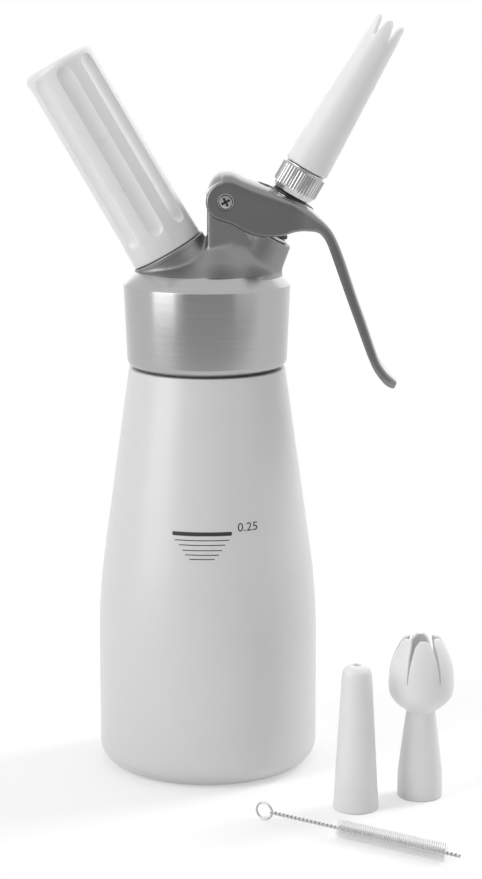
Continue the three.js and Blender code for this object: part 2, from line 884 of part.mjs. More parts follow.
// Stations along the top of the lever, from the web's start to the tip. Each row holds the place as a share of
// the reach, the crown's height as a share of the drop, and the half width and the arch as shares of theirs.
const leverTopShares = [
  [-0.03, 0.146, 1, 1],
  [0.04, 0.143, 1, 1],
  [0.1, 0.118, 1, 1],
  [0.18, 0.089, 1, 1],
  [0.26, 0.062, 1, 1],
  [0.33, 0.036, 1, 1],
  [0.39, 0.012, 0.98, 0.92],
  [0.44, -0.014, 0.93, 0.7],
  [0.49, -0.044, 0.86, 0.5],
  [0.53, -0.077, 0.79, 0.35],
  [0.57, -0.111, 0.73, 0.25],
  [0.61, -0.152, 0.68, 0.2],
  [0.645, -0.21, 0.65, 0.2],
  [0.69, -0.312, 0.64, 0.2],
  [0.756, -0.49, 0.63, 0.2],
  [0.812, -0.63, 0.63, 0.2],
  [0.862, -0.762, 0.62, 0.2],
  [0.897, -0.846, 0.61, 0.2],
  [0.935, -0.897, 0.59, 0.2],
  [0.97, -0.93, 0.55, 0.2],
  [1, -0.954, 0.46, 0.2],
];

// Lower edge of the cheeks and underside of the handle, from the tip back to the hub.
const leverUnderShares = [
  [1, -0.99],
  [0.965, -0.997],
  [0.913, -0.96],
  [0.87, -0.905],
  [0.833, -0.84],
  [0.778, -0.708],
  [0.718, -0.564],
  [0.662, -0.42],
  [0.62, -0.315],
  [0.58, -0.22],
  [0.55, -0.178],
  [0.51, -0.16],
  [0.452, -0.153],
  [0.396, -0.158],
  [0.35, -0.173],
  [0.29, -0.18],
  [0.235, -0.183],
  [0.17, -0.178],
  [0.12, -0.158],
  [0.07, -0.135],
];

function leverStation([along, rise, width, arch]) {
  return {
    x: pivotPoint.x + along * lever.reach,
    z: pivotPoint.z + rise * lever.drop,
    halfWidth: width * lever.halfWidth,
    crown: arch * lever.crown,
  };
}

// Arched cross-section with rounded upper edges, reaching down to a low line.
function archSection(x, top, low, halfWidth, crown, round) {
  const edge = top - crown;
  const flat = halfWidth - round;
  const cut = round * (1 - Math.SQRT1_2);
  const side = round > 0 ? [[halfWidth, edge - round], [halfWidth - cut, edge - cut]] : [];
  const arch = Array.from({ length: lever.archSteps + 1 }, (_, i) => {
    const share = 1 - (2 * i) / lever.archSteps;
    return [flat * share, top - crown * share * share];
  });
  const otherSide = side.map(([y, z]) => [-y, z]).reverse();
  const outline = [[-halfWidth, low], [halfWidth, low], ...side, ...arch, ...otherSide];
  return outline.map(([y, z]) => new THREE.Vector3(x, y, z));
}

function leverOutside() {
  const low = pivotPoint.z - lever.drop - overrun;
  return loft(leverTopShares.map((row) => {
    const { x, z, halfWidth, crown } = leverStation(row);
    return archSection(x, z, low, halfWidth, crown, lever.topRound);
  }));
}

const hollowEndShare = 0.56; // share of the reach at which the cheeks run out into the handle

// Hollow of the channel under the web.
function leverHollow() {
  const low = pivotPoint.z - lever.drop;
  const stations = leverTopShares.filter(([along]) => along < hollowEndShare).map(leverStation);
  return loft(stations.map(({ x, z, halfWidth, crown }) => {
    return archSection(x, z - lever.web, low, halfWidth - lever.cheek, crown * lever.innerArchShare, 0);
  }));
}

function leverSide() {
  const { x, z } = pivotPoint;
  const under = leverUnderShares.map(([along, rise]) => [x + along * lever.reach, z + rise * lever.drop]);
  const high = z + 2 * lever.hubRadius;
  return plate([...under, ...arc(x, z, lever.hubRadius, -100, -270, 2 * curveSteps),
    [x, high], [x + lever.reach, high]].reverse(), 2 * lever.halfWidth);
}

function leverSlot() {
  const { slotHalfWidth, slotNear, slotFar } = lever;
  const nearEnd = arc(slotHalfWidth - slotNear, 0, slotHalfWidth, 90, 270);
  const farEnd = arc(slotFar - slotHalfWidth, 0, slotHalfWidth, -90, 90);
  return prism([...farEnd, ...nearEnd], padBase - overrun, padTop + 2 * overrun, valveFrame);
}

function leverSolid() {
  const { x, z } = pivotPoint;
  const cheekSpan = 2 * (lever.halfWidth - lever.cheek);
  const webStart = x - lever.webStart;
  const far = lever.hubRadius + overrun;
  const betweenCheeks = plate([[x - far, z - far], [webStart, z - far], [webStart, z + 2 * far],
    [x - far, z + 2 * far]], cheekSpan);
  const hub = plate(arc(x, z, lever.hubRadius, 0, 360, 6 * curveSteps).slice(1), 2 * lever.halfWidth);
  const pad = cylinder(lever.padRadius, padBase, padTop, nozzleSides, valveFrame);
  const padRoom = plate([[x, z - lever.hubRadius], [x + lever.reach, z - lever.hubRadius],
    [x + lever.reach, z + 2 * far], [x, z + 2 * far]], cheekSpan + lever.cheek);
  const spot = cylinder(lever.spotRadius, padTop, padTop + 4 * overrun, nozzleSides, valveFrame);
  return leverSide()
    .intersect(leverOutside())
    .add(hub)
    .subtract(leverHollow())
    .subtract(betweenCheeks)
    .add(pad.intersect(padRoom))
    .subtract(spot)
    .subtract(leverSlot())
    .subtract(crossBore(pivot.barrelRadius + clearance, 2 * (lever.halfWidth + overrun)));
}

// Pivot: a flanged barrel from the far side and a screw from the near side

function pivotFrame() {
  return new THREE.Matrix4().makeRotationX(Math.PI / 2).setPosition(pivotPoint);
}

function pivotBarrel() {
  const { barrelRadius, barrelFlangeRadius, flangeThickness, screwHeadRadius, screwHeadDepth } = pivot;
  const face = lever.halfWidth + seatGap;
  const flange = -lever.halfWidth - clearance;
  const threadEnd = face - pivot.screwLength - clearance;
  const seat = face - screwHeadDepth - clearance;
  return turned([
    [0, flange - flangeThickness],
    [barrelFlangeRadius, flange - flangeThickness],
    [barrelFlangeRadius, flange],
    [barrelRadius, flange],
    [barrelRadius, face],
    [screwHeadRadius + clearance / 2, face],
    [screwHeadRadius + clearance / 2, seat],
    [pivot.screwRadius + clearance / 2, seat],
    [pivot.screwRadius + clearance / 2, threadEnd],
    [0, threadEnd],
  ], smallSides, pivotFrame());
}

function pivotScrew() {
  const { screwHeadRadius, screwRadius, screwHeadDepth, screwLength, crownRadius, crossWidth, crossLength } = pivot;
  const face = lever.halfWidth + seatGap;
  const screw = turned([
    [0, face - screwLength],
    [screwRadius, face - screwLength],
    [screwRadius, face - screwHeadDepth],
    [screwHeadRadius, face - screwHeadDepth],
    [screwHeadRadius, face - screwHeadDepth / 3],
    [crownRadius, face],
    [0, face],
  ], rodSides, pivotFrame());
  const [w, l] = [crossWidth / 2, crossLength / 2];
  const cross = [[w, w], [w, l], [-w, l], [-w, w], [-l, w], [-l, -w], [-w, -w], [-w, -l], [w, -l], [w, -w],
    [l, -w], [l, w]];
  return screw.subtract(prism(cross, face - pivot.crossDepth, face + overrun, pivotFrame()));
}

// Cleaning brush, lying on its bristles with its ring upright

function brushWire() {
  const { ringRadius, wire, bristleStart, bristleRadius } = brush;
  const shank = new THREE.CylinderGeometry(wire / 2, wire / 2, bristleStart - ringRadius - seatGap, wireSides)
    .rotateZ(-Math.PI / 2)
    .translate((bristleStart + ringRadius - seatGap) / 2, 0, bristleRadius);
  return loft(eyeSections()).add(toSolid(shank));
}

function eyeSections() {
  const { ringRadius, ringSteps, ringGap, bristleRadius, wire } = brush;
  const across = new THREE.Vector3(0, 1, 0);
  return Array.from({ length: ringSteps + 1 }, (_, i) => {
    const angle = ringGap + ((2 * Math.PI - 2 * ringGap) * i) / ringSteps;
    const out = new THREE.Vector3(Math.cos(angle), 0, Math.sin(angle));
    const middle = new THREE.Vector3(0, 0, bristleRadius).addScaledVector(out, ringRadius);
    return wireSection(middle, out, across, wire / 2);
  });
}

function brushBristles() {
  const { bristleStart, bristleLength, bristleRadius, wire, strands, strandWidth, strandSides } = brush;
  let solid = toSolid(new THREE.CylinderGeometry(wire / 2, wire / 2, bristleLength, wireSides)
    .rotateZ(-Math.PI / 2)
    .translate(bristleStart + bristleLength / 2, 0, bristleRadius));
  const golden = Math.PI * (3 - Math.sqrt(5));
  const margin = 2 * wire;
  for (let i = 0; i < strands; i++) {
    const along = bristleStart + margin / 2 + ((bristleLength - margin) * (i + 0.5)) / strands;
    const strand = new THREE.ConeGeometry(strandWidth, bristleRadius - wire / 4, strandSides, 1)
      .translate(0, (bristleRadius + wire / 4) / 2, 0)
      .rotateX(i * golden)
      .translate(along, 0, bristleRadius);
    solid = solid.add(toSolid(strand));
  }
  return solid;
}

// Finishes
const paint = () => finish('#e4e4e4', 0.3);
const steel = () => finish('#c9c9c9', 0.25, 1);
const casting = () => finish('#8f8f8f', 0.5, 0.6);
const darkCasting = () => finish('#6c6c6c', 0.5, 0.5);
const brass = () => finish('#b79a5b', 0.35, 1);
const rubber = () => finish('#2b2b2b', 0.8);
const plastic = () => finish('#f1f1f0', 0.45);

// The object
const dispenser = new THREE.Group();

addPiece(dispenser, 'bottle', turned(bottleProfile()), paint());
addPiece(dispenser, 'head_gasket', headGasket(), rubber());
addPiece(dispenser, 'head_casting', headCasting(), casting());
addPiece(dispenser, 'pivot_barrel', pivotBarrel(), steel());
addPiece(dispenser, 'pivot_screw', pivotScrew(), steel());
addPiece(dispenser, 'lever', leverSolid(), darkCasting());

const gasInlet = new THREE.Group();
gasInlet.position.set(-nipple.offset, 0, 0);
dispenser.add(gasInlet);
addPiece(gasInlet, 'gas_nipple', gasNipple(), brass());
addPiece(gasInlet, 'check_valve_sleeve', checkValveSleeve(), rubber());

const chargerSide = new THREE.Group();
chargerSide.position.setFromMatrixPosition(chargerFrame);
chargerSide.rotation.y = -tilt;
dispenser.add(chargerSide);
addPiece(chargerSide, 'pin_holder', pinHolderSolid(), brass());
addPiece(chargerSide, 'piercing_pin', piercingPin(), steel());
addPiece(chargerSide, 'charger_seal', chargerSealSolid(), rubber());
addPiece(chargerSide, 'gas_charger', turned(chargerProfile(), smallSides), steel());
addPiece(chargerSide, 'charger_holder', holderSolid(), plastic());

const valveSide = new THREE.Group();
valveSide.position.setFromMatrixPosition(valveFrame);
valveSide.rotation.y = tilt;
dispenser.add(valveSide);
addPiece(valveSide, 'valve_bush', valveBush(), brass());
addPiece(valveSide, 'stem_wiper', stemWiper(), rubber());
addPiece(valveSide, 'valve_stem', valveStem(), steel());
addPiece(valveSide, 'valve_seal', valveSeal(), rubber());
addPiece(valveSide, 'stem_foot_nut', stemFootNut(), steel());
addPiece(valveSide, 'valve_spring', woundTube(springPath(), spring.wire / 2), steel());
addPiece(valveSide, 'thrust_ring', ring(stem.radius + clearance, thrustRing.radius, ringBase,
  ringBase + thrustRing.thickness), rubber());
addPiece(valveSide, 'adapter_nut', adapterNut(), steel());
addPiece(valveSide, 'nozzle_gasket', nozzleGasketSolid(), rubber());
addPiece(valveSide, 'star_nozzle', starNozzle(), plastic());

const springGap = leastGap(springPath(), spring.wire, spring.stepsPerTurn);
console.log(`valve spring: least gap to itself ${springGap.toFixed(2)} mm`);

const plainStand = new THREE.Group();
plainStand.position.set(plain.x, plain.y, 0);
dispenser.add(plainStand);
addPiece(plainStand, 'plain_nozzle', plainNozzle(), plastic());

const tulipStand = new THREE.Group();
tulipStand.position.set(tulip.x, tulip.y, 0);
dispenser.add(tulipStand);
addPiece(tulipStand, 'tulip_nozzle', tulipNozzle(), plastic());

const brushPlace = new THREE.Group();
brushPlace.position.set(brush.x, brush.y, 0);
brushPlace.rotation.z = brush.heading;
dispenser.add(brushPlace);
addPiece(brushPlace, 'brush_wire', brushWire(), steel());
addPiece(brushPlace, 'brush_bristles', brushBristles(), plastic());

export default dispenser;
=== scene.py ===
import math

import bpy
from mathutils import Matrix, Vector


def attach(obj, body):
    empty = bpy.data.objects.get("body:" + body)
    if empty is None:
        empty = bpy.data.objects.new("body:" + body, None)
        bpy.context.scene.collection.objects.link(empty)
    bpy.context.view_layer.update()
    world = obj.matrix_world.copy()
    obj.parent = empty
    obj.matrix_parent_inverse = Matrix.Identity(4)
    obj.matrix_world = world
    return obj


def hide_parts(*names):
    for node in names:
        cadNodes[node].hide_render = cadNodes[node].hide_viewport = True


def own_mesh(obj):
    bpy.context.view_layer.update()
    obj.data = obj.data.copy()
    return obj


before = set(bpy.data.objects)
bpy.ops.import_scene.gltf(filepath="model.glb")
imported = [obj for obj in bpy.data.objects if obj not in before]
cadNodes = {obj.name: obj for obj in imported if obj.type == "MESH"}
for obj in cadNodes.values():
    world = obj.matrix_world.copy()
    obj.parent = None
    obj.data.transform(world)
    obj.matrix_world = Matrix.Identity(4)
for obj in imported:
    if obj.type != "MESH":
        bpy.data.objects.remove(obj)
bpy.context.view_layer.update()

mm = 0.001  # sizes are written in millimetres
weld = 0.001  # vertices closer than this become one
poleRadius = 2  # a closed profile ends in a small disc at its axis
roundCuts = {"bend": 16, "rim": 12, "neck": 6, "small": 5, "tiny": 3}  # steps of the curves in a profile
roundSides = {"small": 64, "middle": 72, "wide": 96}  # sides of the round pieces and tools


def turnBy(angle, axis="Z"):
    return Matrix.Rotation(math.radians(angle), 4, axis)


def placeAt(x, y, z, angle=0, axis="Z"):
    return Matrix.Translation((x * mm, y * mm, z * mm)) @ turnBy(angle, axis)


# Places that the pieces share, in millimetres and degrees: the valve leans to the right and the charger to
# the left.
lean = 30
valvePlace = placeAt(19.08, 0, 170.8475, lean, "Y")
chargerPlace = placeAt(-12.22, 0, 165.5657, -lean, "Y")
pivotPoint = (5.954, 181.913)
pivotPlace = placeAt(pivotPoint[0], 0, pivotPoint[1], 90, "X")
inletPlace = placeAt(-8, 0, 0)


# Tools for modelling

def deselect():
    bpy.ops.object.select_all(action="DESELECT")


def applyPlace():
    bpy.ops.object.transform_apply(location=True, rotation=True, scale=True)


def extrude(move):
    bpy.ops.mesh.extrude_region_move(TRANSFORM_OT_translate={"value": move})


def resize(shares, centre):
    bpy.ops.transform.resize(value=shares, center_override=centre)


def selectOnly(piece):
    deselect()
    piece.select_set(True)
    bpy.context.view_layer.objects.active = piece


def startEditing(name):
    piece = bpy.context.active_object
    piece.name = name
    bpy.ops.object.mode_set(mode="EDIT")
    bpy.ops.mesh.select_mode(type="VERT")
    bpy.ops.mesh.select_all(action="SELECT")
    return piece


def closeUp(piece):
    bpy.ops.mesh.select_all(action="SELECT")
    bpy.ops.mesh.remove_doubles(threshold=weld * mm)
    bpy.ops.mesh.normals_make_consistent(inside=False)
    bpy.ops.object.mode_set(mode="OBJECT")
    applyPlace()
    return piece


def growRings(name, rings, sides, hollow=False):
    # A disc is extruded from ring to ring of a profile of (radius, height), or a bare circle where the
    # profile closes on itself.
    deselect()
    radius, height = rings[0]
    bpy.ops.mesh.primitive_circle_add(vertices=sides, radius=radius * mm, location=(0, 0, height * mm),
                                      fill_type="NOTHING" if hollow else "NGON")
    piece = startEditing(name)
    for wider, higher in rings[1:]:
        extrude((0, 0, (higher - height) * mm))
        if wider == 0:
            bpy.ops.mesh.merge(type="CENTER")
            break
        share = wider / radius
        if share != 1:
            resize((share, share, 1), (0, 0, higher * mm))
        radius, height = wider, higher
    return closeUp(piece)


def drawFace(name, points):
    # An outline is drawn from corner to corner and filled.
    deselect()
    bpy.ops.mesh.primitive_plane_add(size=mm, location=Vector(points[0]) * mm)
    piece = startEditing(name)
    bpy.ops.mesh.merge(type="CENTER")
    for start, end in zip(points, points[1:]):
        extrude((Vector(end) - Vector(start)) * mm)
    bpy.ops.mesh.select_all(action="SELECT")
    bpy.ops.mesh.edge_face_add()
    return piece


def traceOutline(name, points, low, high):
    # An outline in the X-Z plane is drawn and given its thickness along Y.
    piece = drawFace(name, [(x, low, z) for x, z in points])
    extrude((0, (high - low) * mm, 0))
    return closeUp(piece)


def useModifier(piece, kind, **settings):
    selectOnly(piece)
    change = piece.modifiers.new(kind.lower(), kind)
    for setting, value in settings.items():
        setattr(change, setting, value)
    bpy.ops.object.modifier_apply(modifier=change.name)
    return piece


def combine(piece, operation, *others):
    for other in others:
        useModifier(piece, "BOOLEAN", operation=operation, object=other, solver="EXACT")
        bpy.data.objects.remove(other)
    return piece


def setDown(piece, place):
    selectOnly(piece)
    piece.matrix_world = place
    applyPlace()
    return piece


def turnedAt(place, name, rings, sides, hollow=False):
    # A turned form, set down where it belongs.
    return setDown(growRings(name, rings, sides, hollow), place)


def copyPiece(piece, place):
    selectOnly(piece)
    bpy.ops.object.duplicate()
    return setDown(bpy.context.active_object, place)


def joinPieces(pieces):
    selectOnly(pieces[0])
    for other in pieces[1:]:
        other.select_set(True)
    bpy.ops.object.join()
    return bpy.context.active_object


def ringOfCopies(piece, count):
    # Copies of a piece about the Z axis, joined with it.
    copies = [copyPiece(piece, turnBy(360 * i / count)) for i in range(1, count)]
    return joinPieces([piece, *copies])


def castSmooth(piece, voxel, factor, rounds):
    # Voxels melt the joined forms into one skin, and smoothing leaves the soft corners of a casting.
    useModifier(piece, "REMESH", mode="VOXEL", voxel_size=voxel * mm)
    return useModifier(piece, "SMOOTH", factor=factor, iterations=rounds)


def arcPoints(x, z, radius, start, end, steps):
    angles = [math.radians(start + (end - start) * i / steps) for i in range(steps + 1)]
    return [(x + radius * math.cos(a), z + radius * math.sin(a)) for a in angles]


def bendPoints(start, corner, end, steps):
    points = []
    for i in range(steps + 1):
        t = i / steps
        points.append(tuple((1 - t) ** 2 * a + 2 * t * (1 - t) * b + t * t * c
                            for a, b, c in zip(start, corner, end)))
    return points


def smoothRows(rows, steps):
    # Rows between the rows given, on a curve that passes through them all.
    filled = []
    for i in range(len(rows) - 1):
        before, a, b, after = rows[max(i - 1, 0)], rows[i], rows[i + 1], rows[min(i + 2, len(rows) - 1)]
        for k in range(steps):
            t = k / steps
            filled.append(tuple(
                0.5 * (2 * q + (r - p) * t + (2 * p - 5 * q + 4 * r - s) * t * t
                       + (3 * q - p - 3 * r + s) * t ** 3)
                for p, q, r, s in zip(before, a, b, after)))
    return [*filled, tuple(rows[-1])]


# Finishes. Tones are written as they look on screen, from 0 to 255, and grain gives the marks per metre. A
# single value counts for all three colours, or for X, Y and Z.

finishes = {
    "bottlePaint": {"tone": 232, "shade": 228, "grain": 90, "rough": (0.3, 0.4), "bump": 0.02,
                    "bumpGrain": 900, "coat": 0.12},
    "collarMetal": {"tone": 180, "shade": 172, "grain": (60, 60, 2600), "rough": (0.2, 0.28), "bump": 0.04,
                    "bumpGrain": (30, 30, 9000), "metal": 1, "anisotropic": 0.6},
    "castMetal": {"tone": 149, "shade": 141, "grain": 160, "rough": (0.4, 0.5), "bump": 0.12,
                  "bumpGrain": 2600, "metal": 1},
    "leverMetal": {"tone": 138, "shade": 128, "grain": 120, "rough": (0.26, 0.34), "bump": 0.06,
                   "bumpGrain": 2400, "metal": 1, "coat": 0.6},
    "chrome": {"tone": 208, "shade": 198, "grain": 300, "rough": (0.2, 0.28), "bump": 0.02,
               "bumpGrain": 2000, "metal": 1},
    "steel": {"tone": 200, "shade": 188, "grain": 500, "rough": (0.22, 0.34), "bump": 0.05,
              "bumpGrain": 3000, "metal": 1},
    "screwSteel": {"tone": 176, "shade": 160, "grain": 900, "rough": (0.22, 0.4), "bump": 0.08,
                   "bumpGrain": 4000, "metal": 1},
    "brass": {"tone": (206, 176, 108), "shade": (188, 158, 92), "grain": 500, "rough": (0.24, 0.36),
              "bump": 0.05, "bumpGrain": 3000, "metal": 1},
    "rubber": {"tone": 44, "shade": 36, "grain": 400, "rough": (0.6, 0.75), "bump": 0.15, "bumpGrain": 3000},
    "blackPlastic": {"tone": 34, "shade": 28, "grain": 400, "rough": (0.35, 0.5), "bump": 0.1,
                     "bumpGrain": 3000},
    "holderPlastic": {"tone": 244, "shade": 240, "grain": 120, "rough": (0.24, 0.34), "bump": 0.05,
                      "bumpGrain": 1600, "coat": 0.2},
    "nozzlePlastic": {"tone": 249, "shade": 246, "grain": 140, "rough": (0.36, 0.46), "bump": 0.06,
                      "bumpGrain": 2200, "soft": 0.45},
    "bristleNylon": {"tone": 244, "shade": 238, "grain": 900, "rough": (0.3, 0.4), "bump": 0.02,
                     "bumpGrain": 4000, "soft": 0.2},
    "markInk": {"tone": 58, "shade": 50, "grain": 700, "rough": (0.45, 0.6), "bump": 0.03, "bumpGrain": 3000},
}
# The same in every finish
allFinishes = {
    "markDetail": 4, "bumpDetail": 2, "bumpDepth": 0.0002, "coatRough": 0.1, "softScale": 0.002,
    "softRadius": (1, 1, 1), "brushTurn": 0.25,
}


def asTriple(value):
    return value if isinstance(value, tuple) else (value, value, value)


def toneColor(tone):
    return (*(((t / 255 + 0.055) / 1.055) ** 2.4 for t in asTriple(tone)), 1)


def setInputs(tree, node, inputs):
    # An input is linked where its value is another node's output.
    for socket, value in inputs.items():
        if isinstance(value, bpy.types.NodeSocket):
            tree.links.new(value, node.inputs[socket])
        else:
            node.inputs[socket].default_value = value


def addNode(tree, kind, inputs, **settings):
    node = tree.nodes.new("ShaderNode" + kind)
    for setting, value in settings.items():
        setattr(node, setting, value)
    setInputs(tree, node, inputs)
    return node


def noiseOn(tree, coords, grain, detail):
    place = addNode(tree, "Mapping", {"Vector": coords, "Scale": asTriple(grain)})
    noise = addNode(tree, "TexNoise", {"Vector": place.outputs["Vector"], "Scale": 1, "Detail": detail})
    return noise.outputs["Fac"]


def makeFinish(name):
    # Faint marks change the colour and the roughness, and finer ones are raised.
    values = finishes[name]
    material = bpy.data.materials.new(name)
    material.use_nodes = True
    tree = material.node_tree
    shader = tree.nodes["Principled BSDF"]
    coords = addNode(tree, "TexCoord", {}).outputs["Object"]
    marks = noiseOn(tree, coords, values["grain"], allFinishes["markDetail"])
    fineMarks = noiseOn(tree, coords, values["bumpGrain"], allFinishes["bumpDetail"])
    colors = {6: toneColor(values["shade"]), 7: toneColor(values["tone"])}
    mix = addNode(tree, "Mix", {0: marks, **colors}, data_type="RGBA")
    low, high = values["rough"]
    spread = addNode(tree, "MapRange", {"Value": marks, "To Min": low, "To Max": high})
    depth = {"Strength": values["bump"], "Distance": allFinishes["bumpDepth"]}
    bump = addNode(tree, "Bump", {"Height": fineMarks, **depth})
    setInputs(tree, shader, {
        "Base Color": mix.outputs[2], "Roughness": spread.outputs["Result"], "Normal": bump.outputs["Normal"],
        "Metallic": values.get("metal", 0), "Anisotropic": values.get("anisotropic", 0),
        "Coat Weight": values.get("coat", 0), "Coat Roughness": allFinishes["coatRough"],
        "Subsurface Weight": values.get("soft", 0), "Subsurface Scale": allFinishes["softScale"],
        "Subsurface Radius": allFinishes["softRadius"],
    })
    if "anisotropic" in values:
        # Highlights stretch as on metal that is brushed round the Z axis.
        tangent = addNode(tree, "Tangent", {}, direction_type="RADIAL", axis="Z").outputs["Tangent"]
        setInputs(tree, shader, {"Tangent": tangent, "Anisotropic Rotation": allFinishes["brushTurn"]})
    return material


materials = {name: makeFinish(name) for name in finishes}


# Replaced solids take the finish of the piece that replaces them, apart from these.
nodeFinishes = {"head_casting": "castMetal", "pivot_screw": "screwSteel"}


def wearFinish(piece, finish):
    piece.data.materials.clear()
    piece.data.materials.append(materials[finish])


def finishPiece(piece, finish, body, replaced=(), angle=32):
    selectOnly(piece)
    bpy.ops.object.shade_smooth_by_angle(angle=math.radians(angle))
    wearFinish(piece, finish)
    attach(piece, body)
    if replaced:
        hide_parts(*replaced)
    for node in replaced:
        wearFinish(cadNodes[node], nodeFinishes.get(node, finish))
    return piece


# Bottle

bottle = {
    "radius": 35, "height": 146, "wall": 1.3, "floor": 1.8, "footRound": 7, "bendHeight": 55, "bendReach": 15,
    "shoulderRadius": 24.7, "shoulderHeight": 128.6, "neckRadius": 21.2, "neckWall": 2.7, "ledge": 128.9,
    "standRadius": 27.2, "standWidth": 3, "hollow": 0.8, "edge": 0.4, "coneAngle": 8, "floorAngle": -80,
    "throatDrops": (3.7, 5, 9), "throatFlare": 1, "sides": 180,
}


def bottleRings():
    b = bottle
    slope = (b["radius"] - b["shoulderRadius"]) / (b["shoulderHeight"] - b["bendHeight"])
    low, high = b["bendHeight"] - b["bendReach"], b["bendHeight"] + b["bendReach"]
    highRadius = b["radius"] - slope * b["bendReach"]
    foot, wall, edge = b["radius"] - b["footRound"], b["wall"], b["edge"]
    neck, mouth = b["neckRadius"], b["neckRadius"] - b["neckWall"]
    throat, throatBend, throatEnd = (b["ledge"] - drop for drop in b["throatDrops"])
    cone = b["shoulderRadius"] - wall
    return [
        (b["standRadius"] - b["standWidth"], b["hollow"]),
        (b["standRadius"] - b["hollow"], b["hollow"] - edge / 2),
        (b["standRadius"], edge / 2),
        *arcPoints(foot, b["footRound"], b["footRound"], -90, 0, roundCuts["rim"]),
        *bendPoints((b["radius"], low), (b["radius"], b["bendHeight"]), (highRadius, high),
                    roundCuts["bend"]),
        *arcPoints(b["shoulderRadius"] - edge, b["ledge"] - edge, edge, b["coneAngle"], 90,
                   roundCuts["small"]),
        (neck + edge / 2, b["ledge"]),
        (neck, b["ledge"] + edge / 2),
        *arcPoints(neck - edge, b["height"] - edge, edge, 0, 90, roundCuts["small"]),
        *arcPoints(mouth + edge, b["height"] - edge, edge, 90, 180, roundCuts["small"]),
        (mouth, b["ledge"] - b["neckWall"]),
        *bendPoints((mouth, throat), (cone, throatBend), (cone + b["throatFlare"], throatEnd),
                    roundCuts["small"]),
        *bendPoints((highRadius - wall, high), (b["radius"] - wall, b["bendHeight"]),
                    (b["radius"] - wall, low), roundCuts["rim"]),
        *arcPoints(foot, b["footRound"], b["footRound"] - wall, 0, b["floorAngle"], roundCuts["rim"]),
        (b["standRadius"] - b["standWidth"], b["floor"]),
        (poleRadius, b["floor"]),
    ]


bottleShell = growRings("bottleShell", bottleRings(), bottle["sides"])
finishPiece(bottleShell, "bottlePaint", "bottle", ["bottle"])
print("bottle done")

# Gasket

gasket = {"inner": 17.8, "outer": 21.8, "low": 146.2, "high": 147.8, "edge": 0.3, "sides": 128}


def roundedRing(name, inner, outer, low, high, edge, sides):
    corners = [
        (inner, low + edge), (inner + edge, low), (outer - edge, low), (outer, low + edge),
        (outer, high - edge), (outer - edge, high), (inner + edge, high), (inner, high - edge),
        (inner, low + edge),
    ]
    return growRings(name, corners, sides, hollow=True)


finishPiece(roundedRing("headSeal", **gasket), "rubber", "gasket", ["head_gasket"])
print("gasket done")

# Head: a turned collar, a cast body and the lands of both bosses

collar = {
    "cavity": 22.2, "ceiling": 148, "foot": 129.3, "footRadius": 25.2, "footRound": 2.6, "radius": 26.2,
    "top": 155.5, "topAngle": 45, "peakRadius": 22, "peak": 159.7, "edge": 0.4, "sides": 180,
    "portBoss": [(7.9, -30.5), (8.2, -30.2), (8.2, -12)],
}


def collarRings():
    c = collar
    edge = c["edge"]
    return [
        (poleRadius, c["ceiling"]),
        (c["cavity"] - edge, c["ceiling"]),
        (c["cavity"], c["ceiling"] - edge),
        (c["cavity"], c["foot"] + edge),
        (c["cavity"] + edge, c["foot"]),
        *arcPoints(c["footRadius"] - c["footRound"], c["foot"] + c["footRound"], c["footRound"], -90, 0,
                   roundCuts["small"]),
        *arcPoints(c["radius"] - edge, c["top"] - edge / 2, edge, 0, c["topAngle"], roundCuts["tiny"]),
        (c["peakRadius"] + edge, c["peak"] - edge),
        (c["peakRadius"] - edge, c["peak"]),
        (poleRadius, c["peak"]),
    ]


headBores = {
    "valveBore": (valvePlace, [(4.2, -33), (4.2, -19.5), (6, -19.5), (6, 3)]),
    "nippleBore": (inletPlace, [(2.1, 146), (2.1, 161)]),
    "chargerBore": (chargerPlace, [(4.7, -8.3), (4.7, 11)]),
    "pivotBore": (pivotPlace, [(2.9, -12), (2.9, 12)]),
}


def boreTools(*names):
    return [turnedAt(headBores[name][0], name, headBores[name][1], roundSides["small"]) for name in names]


turnedCollar = growRings("turnedCollar", collarRings(), collar["sides"])
combine(turnedCollar, "UNION", turnedAt(valvePlace, "portBoss", collar["portBoss"], roundSides["middle"]))
combine(turnedCollar, "DIFFERENCE", *boreTools("valveBore", "nippleBore"))
finishPiece(turnedCollar, "collarMetal", "head", ["head_casting"])
print("collar done")

# Each row of the cast body: height, left end, right end and half width
bodyRows = [
    (157.4, -24.2, 24.2, 24.2),
    (158.3, -23.4, 23.5, 23.3),
    (159.1, -22.4, 22.9, 22.2),
    (159.8, -20.9, 22.2, 20.6),
    (160.6, -18.9, 21.7, 18.5),
    (161.6, -16.4, 21.2, 16.3),
    (162.8, -13.9, 20.9, 14.2),
    (164.3, -11, 20.7, 12.4),
    (166, -7.4, 20.5, 10.6),
    (168.2, -3.1, 20.2, 8.9),
    (170.3, 0.2, 18.9, 8.4),
    (173.5, 0.3, 17, 7.8),
]
headBody = {
    "lugHalf": 8.4, "lugFace": 0.154, "lugReach": 5.8, "lugFoot": 6, "springLine": 180.91, "crestRise": 5.6,
    "crestCuts": 16, "low": 157, "bossEdge": (11.98, 174.95), "chargerBoss": [(12.2, -22), (12.2, -0.5)],
    "valveBoss": [(15.17, -15.2), (12.3, -12.5), (10.332, -9.75), (9.266, -6.6), (8.61, -2.5), (8.2, -0.4)],
    "rowSteps": 2, "sides": 96, "voxel": 0.45, "smooth": 0.6, "rounds": 14,
}


